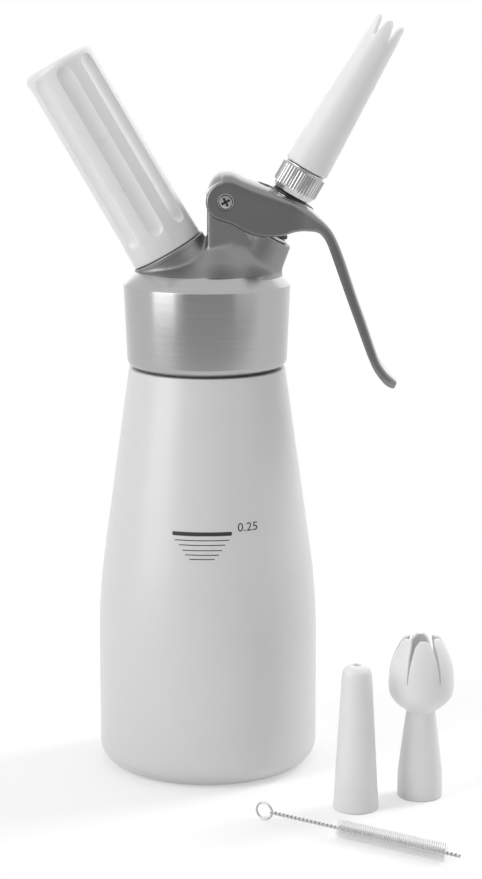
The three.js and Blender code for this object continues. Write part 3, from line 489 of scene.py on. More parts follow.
def growBody():
    # An oval that is extruded upwards, narrowed and shifted from row to row.
    rows = smoothRows(bodyRows, headBody["rowSteps"])
    height, left, right, half = rows[0]
    deselect()
    bpy.ops.mesh.primitive_circle_add(vertices=headBody["sides"], radius=half * mm, fill_type="NGON",
                                      location=((left + right) / 2 * mm, 0, height * mm))
    piece = startEditing("castBody")
    for nextHeight, nextLeft, nextRight, nextHalf in rows[1:]:
        middle = (nextLeft + nextRight) / 2
        move = ((middle - (left + right) / 2) * mm, 0, (nextHeight - height) * mm)
        extrude(move)
        shares = ((nextRight - nextLeft) / (right - left), nextHalf / half, 1)
        resize(shares, (middle * mm, 0, nextHeight * mm))
        height, left, right, half = nextHeight, nextLeft, nextRight, nextHalf
    return closeUp(piece)


def lugPlate():
    h = headBody
    x, _ = pivotPoint
    crest = [(x + h["lugReach"] * math.cos(a), h["springLine"] + h["crestRise"] * math.sin(a))
             for a in (math.pi * i / h["crestCuts"] for i in range(h["crestCuts"] + 1))]
    edgeX, edgeZ = h["bossEdge"]
    outline = [(h["lugFace"], h["low"]), (edgeX + h["lugFoot"], h["low"]), (edgeX, edgeZ), *crest]
    return traceOutline("lugPlate", outline, -h["lugHalf"], h["lugHalf"])


castBody = combine(growBody(), "UNION", lugPlate(),
                   turnedAt(valvePlace, "valveBoss", headBody["valveBoss"], roundSides["middle"]),
                   turnedAt(chargerPlace, "chargerBoss", headBody["chargerBoss"], roundSides["middle"]))
castSmooth(castBody, headBody["voxel"], headBody["smooth"], headBody["rounds"])
combine(castBody, "DIFFERENCE", *boreTools("valveBore", "chargerBore", "nippleBore", "pivotBore"))
finishPiece(castBody, "castMetal", "head", angle=40)

# Lands of the bosses, under the holder's rim and round the valve's stem: place, sides and profile
bossLands = {
    "chargerLand": (chargerPlace, 128, [
        (4.7, -1.6), (12.2, -1.6), (12.28, -1.5), (12.28, -0.4), (11.9, 0), (9.2, 0), (9, 0.2), (9, 7.5),
        (8.5, 8), (5.2, 8), (4.7, 7.5), (4.7, -1.6)]),
    "valveLand": (valvePlace, 96, [
        (6, -1.4), (8.2, -1.4), (8.28, -1.3), (8.28, -0.35), (7.95, 0), (6.3, 0), (6, -0.3), (6, -1.4)]),
}
for name, (place, sides, rings) in bossLands.items():
    finishPiece(turnedAt(place, name, rings, sides, hollow=True), "castMetal", "head")
print("head done")

# Charger and its holder

holder = {
    "radius": 11.65, "inner": 9.3, "low": 0.2, "end": 68.31, "endWall": 2.7, "endRound": 2.3, "endAngle": 84,
    "endCuts": 8, "roofEdge": 0.4, "rimRound": 0.5, "rimEdge": 0.3, "soften": 0.3, "softenAngle": 24,
    "sides": 192,
}
flute = {
    "count": 8, "radius": 5, "depth": 1, "fromRim": 4.2, "fromEnd": 0.5, "phase": 5.5, "tip": 0.05,
    "tipAngle": 88, "cuts": 7, "sides": 48,
}


def holderCap():
    h = holder
    roof = h["end"] - h["endWall"]
    return growRings("holderCap", [
        (poleRadius, roof),
        (h["inner"] - h["roofEdge"], roof),
        (h["inner"], roof - h["roofEdge"]),
        (h["inner"], h["low"] + h["rimEdge"]),
        (h["inner"] + h["rimEdge"], h["low"]),
        *arcPoints(h["radius"] - h["rimRound"], h["low"] + h["rimRound"], h["rimRound"], -90, 0,
                   roundCuts["tiny"]),
        *arcPoints(h["radius"] - h["endRound"], h["end"] - h["endRound"], h["endRound"], 0, h["endAngle"],
                   h["endCuts"]),
        (poleRadius, h["end"]),
    ], h["sides"])


def fluteTools():
    # A rod with rounded ends, once for each flute.
    f = flute
    low, high, r = holder["low"] + f["fromRim"], holder["end"] - f["fromEnd"], f["radius"]
    rod = growRings("fluteTool", [
        (f["tip"], low),
        *arcPoints(0, low + r, r, -f["tipAngle"], 0, f["cuts"]),
        *arcPoints(0, high - r, r, 0, f["tipAngle"], f["cuts"]),
    ], f["sides"])
    setDown(rod, turnBy(f["phase"]) @ placeAt(0, -(holder["radius"] - f["depth"] + r), 0))
    return ringOfCopies(rod, f["count"])


chargerHolder = combine(holderCap(), "DIFFERENCE", fluteTools())
useModifier(chargerHolder, "BEVEL", width=holder["soften"] * mm, segments=3, limit_method="ANGLE",
            angle_limit=math.radians(holder["softenAngle"]), use_clamp_overlap=True, harden_normals=False)
setDown(chargerHolder, chargerPlace)
finishPiece(chargerHolder, "holderPlastic", "holder", ["charger_holder"])

capsuleRings = [
    (0.6, 1.5), (1.3, 1.5), (1.3, 0.35), (3.8, 0.3), (4.25, 0.45), (4.4, 0.9), (4.4, 8.6),
    *bendPoints((4.4, 8.9), (4.4, 10.9), (6.65, 12.15), roundCuts["neck"]),
    *bendPoints((6.65, 12.15), (8.9, 13.4), (8.9, 15.4), roundCuts["neck"])[1:],
    *arcPoints(0, 56.4, 8.9, 0, 88, roundCuts["rim"]), (0, 65.3),
]
gasCapsule = turnedAt(chargerPlace, "gasCapsule", capsuleRings, roundSides["wide"])
finishPiece(gasCapsule, "steel", "charger", ["gas_charger"])
print("holder done")

# Small turned pieces: node, body, finish, slot, place and profile

turnedPieces = {
    "valveStem": ("valve_stem", "valve", "steel", "steel", valvePlace, [
        (1.9, -29.2), (1.9, 22.1), (2.2, 22.4), (3.3, 22.4), (3.6, 22.1), (3.6, 9.2), (4.8, 9.2), (5, 9),
        (5, 7.8), (4.8, 7.6), (3.6, 7.6), (3.6, -8), (5, -8), (5.2, -8.2), (5.2, -9.8), (5, -10), (3.6, -10),
        (3.6, -24.5), (3, -24.5), (3, -36.6), (2.6, -37), (1.4, -37), (1.4, -29.6), (1.9, -29.2)]),
    "bushLining": ("valve_bush", "head", "steel", "steel", valvePlace, [
        (3.9, -7.2), (4.2, -7.5), (5.3, -7.5), (5.6, -7.2), (5.6, 0.2), (6.4, 0.2), (6.6, 0.4), (6.6, 0.8),
        (6.4, 1), (4.1, 1), (3.9, 0.8), (3.9, -7.2)]),
    "wiperRing": ("stem_wiper", "head", "rubber", "rubber", valvePlace, [
        (3.9, 1.5), (4.1, 1.3), (5.7, 1.3), (5.9, 1.5), (5.9, 2.2), (5.4, 2.6), (4.1, 2.6), (3.9, 2.4),
        (3.9, 1.5)]),
    "portSeal": ("valve_seal", "valve", "rubber", "rubber", valvePlace, [
        (3.3, -32.6), (3.5, -32.8), (5.9, -32.8), (6.2, -32.5), (6.2, -31.1), (5.9, -30.8), (3.5, -30.8),
        (3.3, -31), (3.3, -32.6)]),
    "blackRing": ("thrust_ring", "valve", "blackPlastic", "black_plastic", valvePlace, [
        (3.9, 13.5), (4.1, 13.3), (5.5, 13.3), (5.8, 13.6), (5.8, 14.1), (5.5, 14.4), (4.1, 14.4),
        (3.9, 14.2), (3.9, 13.5)]),
    "tipSeal": ("nozzle_gasket", "nozzle_gasket", "rubber", "rubber", valvePlace, [
        (2.4, 30.4), (2.6, 30.2), (4.6, 30.2), (4.8, 30.4), (4.8, 31), (4.6, 31.2), (2.6, 31.2), (2.4, 31),
        (2.4, 30.4)]),
    "capsuleSeal": ("charger_seal", "head", "rubber", "rubber", chargerPlace, [
        (1.35, -1.4), (1.55, -1.6), (4.2, -1.6), (4.4, -1.4), (4.4, -0.2), (4.2, 0), (1.55, 0), (1.35, -0.2),
        (1.35, -1.4)]),
    "pinSocket": ("pin_holder", "head", "brass", "brass", chargerPlace, [
        (1.05, -7.8), (1.3, -8), (4.1, -8), (4.4, -7.7), (4.4, -2), (4.2, -1.8), (1.2, -1.8), (1.05, -2),
        (1.05, -7.8)]),
    "hollowPin": ("piercing_pin", "head", "steel", "steel", chargerPlace, [
        (0.35, -7.7), (0.8, -7.7), (0.9, -7.6), (0.9, 0.7), (0.45, 2.3), (0.35, 2.3), (0.35, -7.7)]),
}

for name, (node, body, finish, slot, place, rings) in turnedPieces.items():
    piece = turnedAt(place, name, rings, roundSides["small"], hollow=True)
    finishPiece(piece, finish, body, [node])
print("turned pieces done")

# Gas inlet under the head

gasTubeRings = [
    (0.5, 141), (1.6, 141), (1.8, 141.2), (1.8, 152.8), (1.6, 153), (0.7, 153), (0.7, 143), (0.5, 143),
]
sleeve = {"inner": 1.95, "outer": 2.95, "low": 141.5, "high": 146.5, "edge": 0.2, "sides": 64}
finishPiece(turnedAt(inletPlace, "gasTube", gasTubeRings, 48), "brass", "head", ["gas_nipple"])
inletSleeve = roundedRing("inletSleeve", **sleeve)
finishPiece(setDown(inletSleeve, inletPlace), "rubber", "head", ["check_valve_sleeve"])
print("gas inlet done")

# Nut on the stem's end, grooved for the fingers

nut = {"grooves": 44, "radius": 7.3, "groove": 0.4, "tip": 0.02, "sink": 0.04, "low": 14, "high": 22.5}
nutRings = [
    (3.9, 14.9), (4.2, 14.6), (5.9, 14.6), (6.3, 14.75), (6.9, 16), (7.3, 16.9), (7.3, 22.5), (7.15, 22.85),
    (6.85, 23), (6.65, 23.02), (6.6, 23.1), (6.6, 23.4), (6.5, 23.5), (5.3, 23.5), (5.1, 23.7), (5.1, 29.5),
    (4.7, 29.9), (2.2, 29.9), (2, 29.7), (2, 22.6), (3.9, 22.6), (3.9, 14.9),
]
ribbedNut = growRings("ribbedNut", nutRings, 4 * nut["grooves"], hollow=True)
groove = growRings("grooveTool", [(nut["groove"], nut["low"]), (nut["groove"], nut["high"]),
                                  (nut["tip"], nut["high"] + nut["groove"])], 8)
setDown(groove, placeAt(nut["radius"] + nut["sink"], 0, 0))
combine(ribbedNut, "DIFFERENCE", ringOfCopies(groove, nut["grooves"]))
finishPiece(setDown(ribbedNut, valvePlace), "chrome", "valve", ["adapter_nut"])
print("nut done")

# Foot nut and spring of the valve

footNutRings = [
    (3.2, -36.4), (4.7, -36.4), (5, -36.1), (5, -33.4), (4.7, -33.1), (3.2, -33.1), (3.2, -36.4),
]
footNut = turnedAt(valvePlace, "footNut", footNutRings, 6, hollow=True)
finishPiece(footNut, "steel", "valve", ["stem_foot_nut"])

spring = {
    "wire": 0.45, "wireSides": 12, "radius": 4.85, "low": -19.2, "high": -10.3, "turns": 5.5, "turnSteps": 28,
    "keep": 0.663,
}


def woundSpring():
    # A ring of wire is wound upwards by a Screw modifier, and both ends are closed.
    s = spring
    deselect()
    bpy.ops.mesh.primitive_circle_add(vertices=s["wireSides"], radius=s["wire"] * mm,
                                      rotation=(math.pi / 2, 0, 0), location=(s["radius"] * mm, 0, 0))
    applyPlace()
    piece = bpy.context.active_object
    piece.name = "valveCoil"
    rise = s["high"] - s["low"] - 2 * s["wire"]
    steps = int(s["turnSteps"] * s["turns"])
    useModifier(piece, "SCREW", angle=2 * math.pi * s["turns"], screw_offset=rise * mm, steps=steps,
                render_steps=steps, use_merge_vertices=False)
    bpy.ops.object.mode_set(mode="EDIT")
    bpy.ops.mesh.select_mode(type="EDGE")
    bpy.ops.mesh.select_all(action="DESELECT")
    bpy.ops.mesh.select_non_manifold()
    bpy.ops.mesh.edge_face_add()
    closeUp(piece)
    return setDown(piece, valvePlace @ placeAt(0, 0, s["low"] + s["wire"]))


valveCoil = woundSpring()
finishPiece(valveCoil, "steel", "head", ["valve_spring"], angle=60)
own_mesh(valveCoil)
print("spring done")

# Lever: an arched section is swept from station to station

lever = {
    "reach": 54, "drop": 60, "halfWidth": 11, "crown": 2.3, "round": 1.8, "edge": 0.35, "flatShare": 0.6,
    "cornerShare": 0.9, "crownShares": (0.5, 0.85), "rowSteps": 3, "web": 2, "cheek": 2, "skirt": 1,
    "hub": 6.2, "hubEdge": 0.5, "hubInset": 0.02, "hollowEnd": 0.565, "gap": (-6.6, -0.9, -7, 2.3),
    "roomRadius": 5.65, "roomHalf": 9, "pad": (9.2, 9.8, 12), "spotFace": 7.95, "faceRise": 6,
    "slot": (4.1, -7, 4.7), "slotOver": 2, "bore": (2.75, 13), "voxel": 0.42, "smooth": 0.5, "rounds": 8,
}
hood = {
    "top": 8.6, "curve": ((-1, 8.6), (-5, 8), (-6.1, 2.2)), "cuts": 8,
    "steps": ((3, 0.985), (5.5, 0.94), (7.6, 0.86), (9.2, 0.76), (10, 0.7)),
}
# Each station: top (along, rise), under side (along, rise) and width, as shares of reach, drop and half width
leverStations = [
    (-0.0185, 0.1455, -0.0185, -0.1033, 1), (0.04, 0.143, 0.04, -0.118, 1), (0.1, 0.118, 0.1, -0.15, 1),
    (0.18, 0.089, 0.18, -0.179, 1), (0.26, 0.062, 0.26, -0.1815, 1), (0.33, 0.036, 0.33, -0.176, 1),
    (0.39, 0.012, 0.39, -0.1585, 0.98), (0.44, -0.014, 0.44, -0.154, 0.93),
    (0.49, -0.044, 0.475, -0.156, 0.86), (0.53, -0.077, 0.508, -0.16, 0.79),
    (0.57, -0.111, 0.54, -0.171, 0.73), (0.61, -0.152, 0.57, -0.203, 0.68),
    (0.645, -0.21, 0.592, -0.246, 0.65), (0.69, -0.312, 0.627, -0.332, 0.64),
    (0.756, -0.49, 0.692, -0.497, 0.63), (0.812, -0.63, 0.748, -0.634, 0.63),
    (0.862, -0.762, 0.8, -0.763, 0.62), (0.897, -0.846, 0.838, -0.85, 0.61),
    (0.935, -0.897, 0.875, -0.912, 0.59), (0.97, -0.93, 0.93, -0.972, 0.55), (1, -0.954, 0.98, -0.995, 0.46),
]


def leverSections(roof, side, skirt):
    # Foot, tilt, height, half width and share of the reach of each section. The hollow's sections are smaller
    # by the walls.
    x, z = pivotPoint
    reach, drop = lever["reach"], lever["drop"]
    sections = []
    for along, rise, underAlong, underRise, share in smoothRows(leverStations, lever["rowSteps"]):
        top = Vector((x + along * reach, z + rise * drop))
        under = Vector((x + underAlong * reach, z + underRise * drop))
        up = (top - under).normalized()
        foot = under - up * skirt
        sections.append((foot, math.atan2(up.x, up.y), (top - foot).length - roof,
                         share * lever["halfWidth"] - side, along))
    return sections


def archCorners(half, height):
    v = lever
    crown, curve, edge, cuts = v["crown"], v["round"], v["edge"], roundCuts["neck"]
    upper, lower = v["crownShares"]
    corner = (half - curve * v["cornerShare"], height - upper * crown)
    side = [
        *bendPoints((0, height), (v["flatShare"] * half, height), corner, cuts),
        *bendPoints(corner, (half, height - lower * crown), (half, height - crown - curve), cuts)[1:],
        (half, edge), (half - edge, 0),
    ]
    return side + [(-y, z) for y, z in reversed(side[1:])]


def sweepSections(name, sections):
    foot, tilt, height, half, _ = sections[0]
    piece = drawFace(name, [(foot.x, y, foot.y + z) for y, z in archCorners(half, height)])
    for nextFoot, nextTilt, nextHeight, nextHalf, _ in sections[1:]:
        move = ((nextFoot.x - foot.x) * mm, 0, (nextFoot.y - foot.y) * mm)
        centre = (nextFoot.x * mm, 0, nextFoot.y * mm)
        extrude(move)
        bpy.ops.transform.rotate(value=tilt, orient_axis="Y", center_override=centre)
        resize((1, nextHalf / half, nextHeight / height), centre)
        bpy.ops.transform.rotate(value=-nextTilt, orient_axis="Y", center_override=centre)
        foot, tilt, height, half = nextFoot, nextTilt, nextHeight, nextHalf
    return closeUp(piece)


def leverHood():
    # Rounded roof over the left of the hub, lower towards the cheeks: one half, and its mirror image.
    x, z = pivotPoint
    outline = [(0, 0), (0, hood["top"]), *bendPoints(*hood["curve"], hood["cuts"])]
    piece = drawFace("leverHood", [(x + a, 0, z + b) for a, b in outline])
    depth, share = 0, 1
    for nextDepth, nextShare in hood["steps"]:
        extrude((0, (depth - nextDepth) * mm, 0))
        ratio = nextShare / share
        resize((ratio, 1, ratio), (x * mm, 0, z * mm))
        depth, share = nextDepth, nextShare
    closeUp(piece)
    other = copyPiece(piece, Matrix())
    startEditing(other.name)
    resize((1, -1, 1), (0, 0, 0))
    closeUp(other)
    return combine(piece, "UNION", other)


def growLever():
    v = lever
    body = sweepSections("leverBody", leverSections(0, 0, 0))
    hub, edge, hubHalf = v["hub"], v["hubEdge"], v["halfWidth"] - v["hubInset"]
    hubRings = [(hub - edge, -hubHalf), (hub, edge - hubHalf), (hub, hubHalf - edge), (hub - edge, hubHalf)]
    combine(body, "UNION", turnedAt(pivotPlace, "leverHub", hubRings, roundSides["middle"]), leverHood())
    castSmooth(body, v["voxel"], v["smooth"], v["rounds"])
    inner = [section for section in leverSections(v["web"], v["cheek"], v["skirt"])
             if section[-1] < v["hollowEnd"]]
    hollow = sweepSections("leverHollow", inner)
    x, z = pivotPoint
    left, right, low, high = v["gap"]
    room = v["roomHalf"]
    corners = [(x + left, z + low), (x + right, z + low), (x + right, z + high), (x + left, z + high)]
    gap = traceOutline("hubGap", corners, -room, room)
    roomRings = [(v["roomRadius"], -room), (v["roomRadius"], room)]
    combine(body, "DIFFERENCE", hollow, gap, turnedAt(pivotPlace, "lugRoom", roomRings, roundSides["wide"]))
    padRadius, padLow, padHigh = v["pad"]
    padRings = [(padRadius, padLow), (padRadius, padHigh)]
    combine(body, "UNION", turnedAt(valvePlace, "leverPad", padRings, roundSides["wide"]))
    faceRings = [(v["spotFace"], padHigh), (v["spotFace"], padHigh + v["faceRise"])]
    face = turnedAt(valvePlace, "spotFace", faceRings, roundSides["wide"])
    half, start, end = v["slot"]
    cuts = roundCuts["rim"]
    ends = [*arcPoints(end, 0, half, -90, 90, cuts), *arcPoints(start, 0, half, 90, 270, cuts)]
    stemSlot = traceOutline("stemSlot", ends, -padHigh - v["slotOver"], -padLow + v["slotOver"])
    setDown(stemSlot, valvePlace @ turnBy(-90, "X"))
    boreRadius, boreHalf = v["bore"]
    boreRings = [(boreRadius, -boreHalf), (boreRadius, boreHalf)]
    bore = turnedAt(pivotPlace, "leverBore", boreRings, roundSides["small"])
    return combine(body, "DIFFERENCE", face, stemSlot, bore)


pressLever = growLever()
finishPiece(pressLever, "leverMetal", "lever", ["lever"], angle=40)
pressLever.visible_glossy = False  # keeps its dark mirror image off the collar
print("lever done")

# Pivot: a barrel with a cross-slotted screw in its near end

barrelRings = [
    (1.25, 1.2), (1.25, 9.9), (2.2, 9.9), (2.2, 11), (2.3, 11.15), (2.5, 11.15), (2.6, 11.05), (2.6, -11.35),
    (3.4, -11.35), (3.6, -11.5), (3.6, -12.1), (3.4, -12.3), (1, -12.3),
]
screwRings = [
    (1.1, 1.6), (1.2, 1.7), (1.2, 9.95), (1.95, 9.95), (2.1, 10.1), (2.1, 10.75), (1.95, 10.98), (1.5, 11.12),
    (0.8, 11.19), (0.3, 11.2),
]


# Cross of the screw, and the dark blades set at the bottom of its recess as painted shade: half length, low,
# high and half thickness
cross = {"recess": (1.5, 10.35, 11.5, 0.34), "floor": (1.44, 10.36, 10.7, 0.3), "taper": 0.92, "turn": 28}


def crossBlades(half, low, high, thick):
    foot = half * cross["taper"]
    corners = [(-half, high), (half, high), (foot, low), (-foot, low)]
    blade = traceOutline("screwBlade", corners, -thick, thick)
    return blade, copyPiece(blade, turnBy(90))


def crossScrew():
    screw = growRings("pivotScrew", screwRings, roundSides["small"])
    combine(screw, "DIFFERENCE", *crossBlades(*cross["recess"]))
    # The floor blades are a painted shade: a dark insert at the bottom of the cross recess.
    blade, other = crossBlades(*cross["floor"])
    combine(blade, "UNION", other)
    place = pivotPlace @ turnBy(cross["turn"])
    return setDown(screw, place), setDown(blade, place)


pivotBarrel = turnedAt(pivotPlace, "pivotBarrel", barrelRings, roundSides["middle"])
finishPiece(pivotBarrel, "screwSteel", "lever", ["pivot_barrel"])
pivotScrew, crossShade = crossScrew()
finishPiece(pivotScrew, "chrome", "lever", ["pivot_screw"])
# Painted shade: a dark insert, in the rubber finish, where the steel screw's cross recess falls into shadow.
finishPiece(crossShade, "rubber", "lever")
print("pivot done")

# Nozzles

notchFrom = 0.4  # from the axis
star = {"teeth": 6, "depth": 6.6, "halfWidth": 2, "phase": 24, "high": 75.9, "reach": 9, "sides": 144}
starRings = [
    (5.4, 24.1), (5.6, 23.8), (6.7, 23.8), (7.1, 24.2), (7.1, 27.6), (7.05, 28.4), (4.98, 75.2),
    (4.75, 75.75), (4.5, 75.9), (3.9, 75.9), (3.75, 75.7), (3.75, 75), (4.3, 31.5), (5.4, 31.5), (5.4, 24.1),
]


def notchTools(count, outline, high, phase, reach):
    points = [*[(-x, z + high) for x, z in reversed(outline)][:-1], *[(x, z + high) for x, z in outline]]
    wedge = traceOutline("notchTool", points, -reach, -notchFrom)
    copies = [copyPiece(wedge, turnBy(phase + 360 * i / count)) for i in range(count)]
    bpy.data.objects.remove(wedge)
    return copies


starNozzle = growRings("starNozzle", starRings, star["sides"], hollow=True)
starNotch = [(0, -star["depth"]), (0.35, -star["depth"] + 0.5), (star["halfWidth"] - 0.5, -1.1),
             (star["halfWidth"] + 0.4, 0.3), (star["halfWidth"] + 0.6, 1)]
combine(starNozzle, "DIFFERENCE",
        *notchTools(star["teeth"], starNotch, star["high"], star["phase"], star["reach"]))
finishPiece(setDown(starNozzle, valvePlace), "nozzlePlastic", "nozzle", ["star_nozzle"])

plain = {"place": (45.9, -49, 0), "sides": 128}
plainRings = [
    (5.4, 0.3), (5.7, 0), (6.7, 0), (7, 0.3), (4.62, 42),
    *bendPoints((4.58, 42.4), (4.45, 44.9), (2, 45.5), 8), (1.45, 45.42), (1.3, 45.2), (1.3, 42.9),
    (3.3, 41.1), (4.1, 7.7), (5.4, 7.7), (5.4, 0.3),
]
plainNozzle = growRings("plainNozzle", plainRings, plain["sides"], hollow=True)
setDown(plainNozzle, placeAt(*plain["place"]))
finishPiece(plainNozzle, "nozzlePlastic", "plain_nozzle", ["plain_nozzle"])

tulip = {
    "place": (66.3, -38, 0), "petals": 6, "slit": 12.8, "halfWidth": 0.95, "phase": 31, "high": 51,
    "reach": 13, "wall": 1.15, "lipDrop": 0.2, "rowSteps": 3, "innerFrom": 6, "sides": 144,
}
bulbRows = smoothRows([
    (4.55, 27.2), (4.75, 28), (6.6, 29.3), (8.2, 30.8), (9.6, 32.9), (10.1, 35.6), (10.05, 38.2), (9.7, 41.8),
    (8.6, 45.4), (7, 48.8), (5.9, 50.5), (5.5, 51),
], tulip["rowSteps"])
tulipRings = [
    (5.4, 0.3), (5.7, 0), (6.65, 0), (6.95, 0.3), (6.95, 7.6), (6.9, 8.4), *bulbRows,
    *[(r - tulip["wall"], z - tulip["lipDrop"]) for r, z in reversed(bulbRows[tulip["innerFrom"]:])],
    (3.35, 28), (4.1, 7.7), (5.4, 7.7), (5.4, 0.3),
]
tulipNozzle = growRings("tulipNozzle", tulipRings, tulip["sides"], hollow=True)
w, depth = tulip["halfWidth"], tulip["slit"]
petalSlit = [(0, -depth), (0.12, -depth + 0.4), (0.45 * w, -depth * 0.5), (0.9 * w, -1.6), (1.35 * w, -0.6),
             (1.9 * w, 0.1), (2.1 * w, 1.5)]
combine(tulipNozzle, "DIFFERENCE",
        *notchTools(tulip["petals"], petalSlit, tulip["high"], tulip["phase"], tulip["reach"]))
setDown(tulipNozzle, placeAt(*tulip["place"]))
finishPiece(tulipNozzle, "nozzlePlastic", "tulip_nozzle", ["tulip_nozzle"])
print("nozzles done")

# Cleaning brush: a loop, a twisted wire and a roll of bristles, lying on the floor

brush = {
    "place": (17.6, -60, 2.9), "heading": -33.6,
    "strand": 0.3, "strandSides": 8, "pitch": 2.8, "turnSteps": 12, "wireFrom": 2.5, "wireTo": 67.4,
    "loop": 2.52, "loopWire": 0.33, "loopShift": 0.2, "loopStretch": 1.1,
    "bristlesFrom": 26.4, "bristlesTo": 62.4, "bristle": 0.1, "tipShare": 0.6, "bristleLength": 2.6,
    "bristleMiddle": 1.55, "count": 900, "spread": 137.5,
}
brushPlace = placeAt(*brush["place"], brush["heading"])


def twistedWire():
    b = brush
    length = b["wireTo"] - b["wireFrom"]
    turns = length / b["pitch"]
    steps = int(b["turnSteps"] * turns)
    deselect()
    bpy.ops.mesh.primitive_circle_add(vertices=b["strandSides"], radius=b["strand"] * mm,
                                      rotation=(0, math.pi / 2, 0),
                                      location=(b["wireFrom"] * mm, b["strand"] * mm, 0))
    applyPlace()
    strand = bpy.context.active_object
    strand.name = "brushWire"
    useModifier(strand, "SCREW", axis="X", angle=2 * math.pi * turns, screw_offset=length * mm, steps=steps,
                render_steps=steps, use_merge_vertices=False)
    bpy.ops.object.mode_set(mode="EDIT")
    bpy.ops.mesh.select_all(action="SELECT")
    bpy.ops.mesh.fill_holes(sides=0)
    closeUp(strand)
    return joinPieces([strand, copyPiece(strand, turnBy(180, "X"))])


def wireLoop():
    b = brush
    centre = (b["loopShift"] * mm, 0, 0)
    deselect()
    bpy.ops.mesh.primitive_torus_add(major_radius=b["loop"] * mm, minor_radius=b["loopWire"] * mm,
                                     major_segments=40, minor_segments=10, rotation=(math.pi / 2, 0, 0),
                                     location=centre)
    piece = bpy.context.active_object
    resize((b["loopStretch"], 1, 1), centre)
    applyPlace()
    return piece


def bristleRoll():
    # One bristle is repeated along the wire by an Array modifier, each copy turned on from the last.
    b = brush
    deselect()
    bpy.ops.mesh.primitive_cone_add(vertices=4, radius1=b["bristle"] * mm,
                                    radius2=b["bristle"] * b["tipShare"] * mm, depth=b["bristleLength"] * mm,
                                    location=(b["bristlesFrom"] * mm, 0, b["bristleMiddle"] * mm))
    applyPlace()
    roll = bpy.context.active_object
    roll.name = "bristleRoll"
    step = (b["bristlesTo"] - b["bristlesFrom"]) / b["count"] * mm
    bpy.ops.object.empty_add(location=(step, 0, 0), rotation=(math.radians(b["spread"]), 0, 0))
    offset = bpy.context.active_object
    useModifier(roll, "ARRAY", count=b["count"], use_relative_offset=False, use_object_offset=True,
                offset_object=offset)
    bpy.data.objects.remove(offset)
    return roll


brushWire = setDown(joinPieces([twistedWire(), wireLoop()]), brushPlace)
finishPiece(brushWire, "steel", "brush", ["brush_wire"], angle=60)
finishPiece(setDown(bristleRoll(), brushPlace), "bristleNylon", "brush", ["brush_bristles"])
print("brush done")

# Fill mark, printed on the bottle: a bar, shorter lines below it and a plain number beside it. The bar has a
# half length and a thickness, and each line has a half length and a drop below the bar.

fillMark = {
    "x": -1.3, "z": 81.8, "bar": (9.2, 1.2), "line": 0.26, "barEdge": 0.25, "barDepth": (-36, -22),
    "lines": [(8.4, 1.95), (7.15, 3.4), (6.15, 5), (5.25, 6.4), (3.9, 7.7)],
    "number": "0.25", "numberPlace": (9.6, -29, 82.3), "numberSize": 3.7, "numberDepth": 7,
    "skin": 0.04, "skinFrom": 66, "skinTo": 92, "radius": 31.25, "slope": 0.13995,
}


def markBar(half, z, thickness):
    x, low, high = fillMark["x"], z - thickness / 2, z + thickness / 2
    end = min(fillMark["barEdge"], thickness / 4)
    corners = [(x - half + end, low), (x + half - end, low), (x + half, low + end), (x + half, high - end),
               (x + half - end, high), (x - half + end, high), (x - half, high - end), (x - half, low + end)]
    return traceOutline("markBar", corners, *fillMark["barDepth"])


def markNumber():
    m = fillMark
    deselect()
    bpy.ops.object.text_add(location=[value * mm for value in m["numberPlace"]], rotation=(math.pi / 2, 0, 0))
    number = bpy.context.active_object.data
    number.body, number.size, number.extrude = m["number"], m["numberSize"] * mm, m["numberDepth"] * mm
    number.resolution_u = roundCuts["small"]
    bpy.ops.object.convert(target="MESH")
    return closeUp(startEditing("markNumber"))


def fillMarkPiece():
    # The mark is what a thin skin round the bottle's cone shares with the bars and the number.
    m = fillMark
    low, high, thin = m["skinFrom"], m["skinTo"], m["skin"]
    wide, narrow = (m["radius"] + (m["z"] - z) * m["slope"] for z in (low, high))
    rings = [(wide - thin, low), (wide + thin, low), (narrow + thin, high), (narrow - thin, high),
             (wide - thin, low)]
    skin = growRings("fillMark", rings, bottle["sides"], hollow=True)
    half, thickness = m["bar"]
    lines = [markBar(half, m["z"], thickness)]
    lines += [markBar(shorter, m["z"] - drop, m["line"]) for shorter, drop in m["lines"]]
    return combine(skin, "INTERSECT", joinPieces([*lines, markNumber()]))


finishPiece(fillMarkPiece(), "markInk", "bottle")
print("fill mark done")

# Studio, in metres: pale floor, white surroundings, soft lamps and cards that only reflections see

studio = {
    "camera": (0.01068, -0.76, 0.262), "pitch": 78.34, "lens": 99.9, "sensor": 36, "around": 0.39,
    "floorSize": 8, "floorHeight": -0.00005, "floorDiffuse": 0.6, "floorGlow": 0.45, "floorBounce": 0.8,
    "shadowFrom": 0.1, "shadowReach": 0.34,
}


def greyColor(level):
    return (level, level, level, 1)


def lightPathMix(tree):
    # 1 for what the camera, glossy surfaces and clear ones see, and 0 for the light on the object.
    path = addNode(tree, "LightPath", {})
    seen = path.outputs["Is Camera Ray"]
    for ray in ("Is Glossy Ray", "Is Transmission Ray"):
        seen = addNode(tree, "Math", {0: seen, 1: path.outputs[ray]}, operation="MAXIMUM").outputs[0]
    return seen


def mixShaders(tree, share, first, second):
    return addNode(tree, "MixShader", {"Fac": share, 1: first, 2: second}).outputs[0]


def glowShader(tree, strength):
    return addNode(tree, "Emission", {"Strength": strength}).outputs[0]


def paintShader(tree, level):
    return addNode(tree, "BsdfDiffuse", {"Color": greyColor(level)}).outputs[0]


def studioMaterial(name, makeShader):
    material = bpy.data.materials.new(name)
    material.use_nodes = True
    tree = material.node_tree
    tree.nodes.remove(tree.nodes["Principled BSDF"])
    setInputs(tree, tree.nodes["Material Output"], {"Surface": makeShader(tree)})
    return material


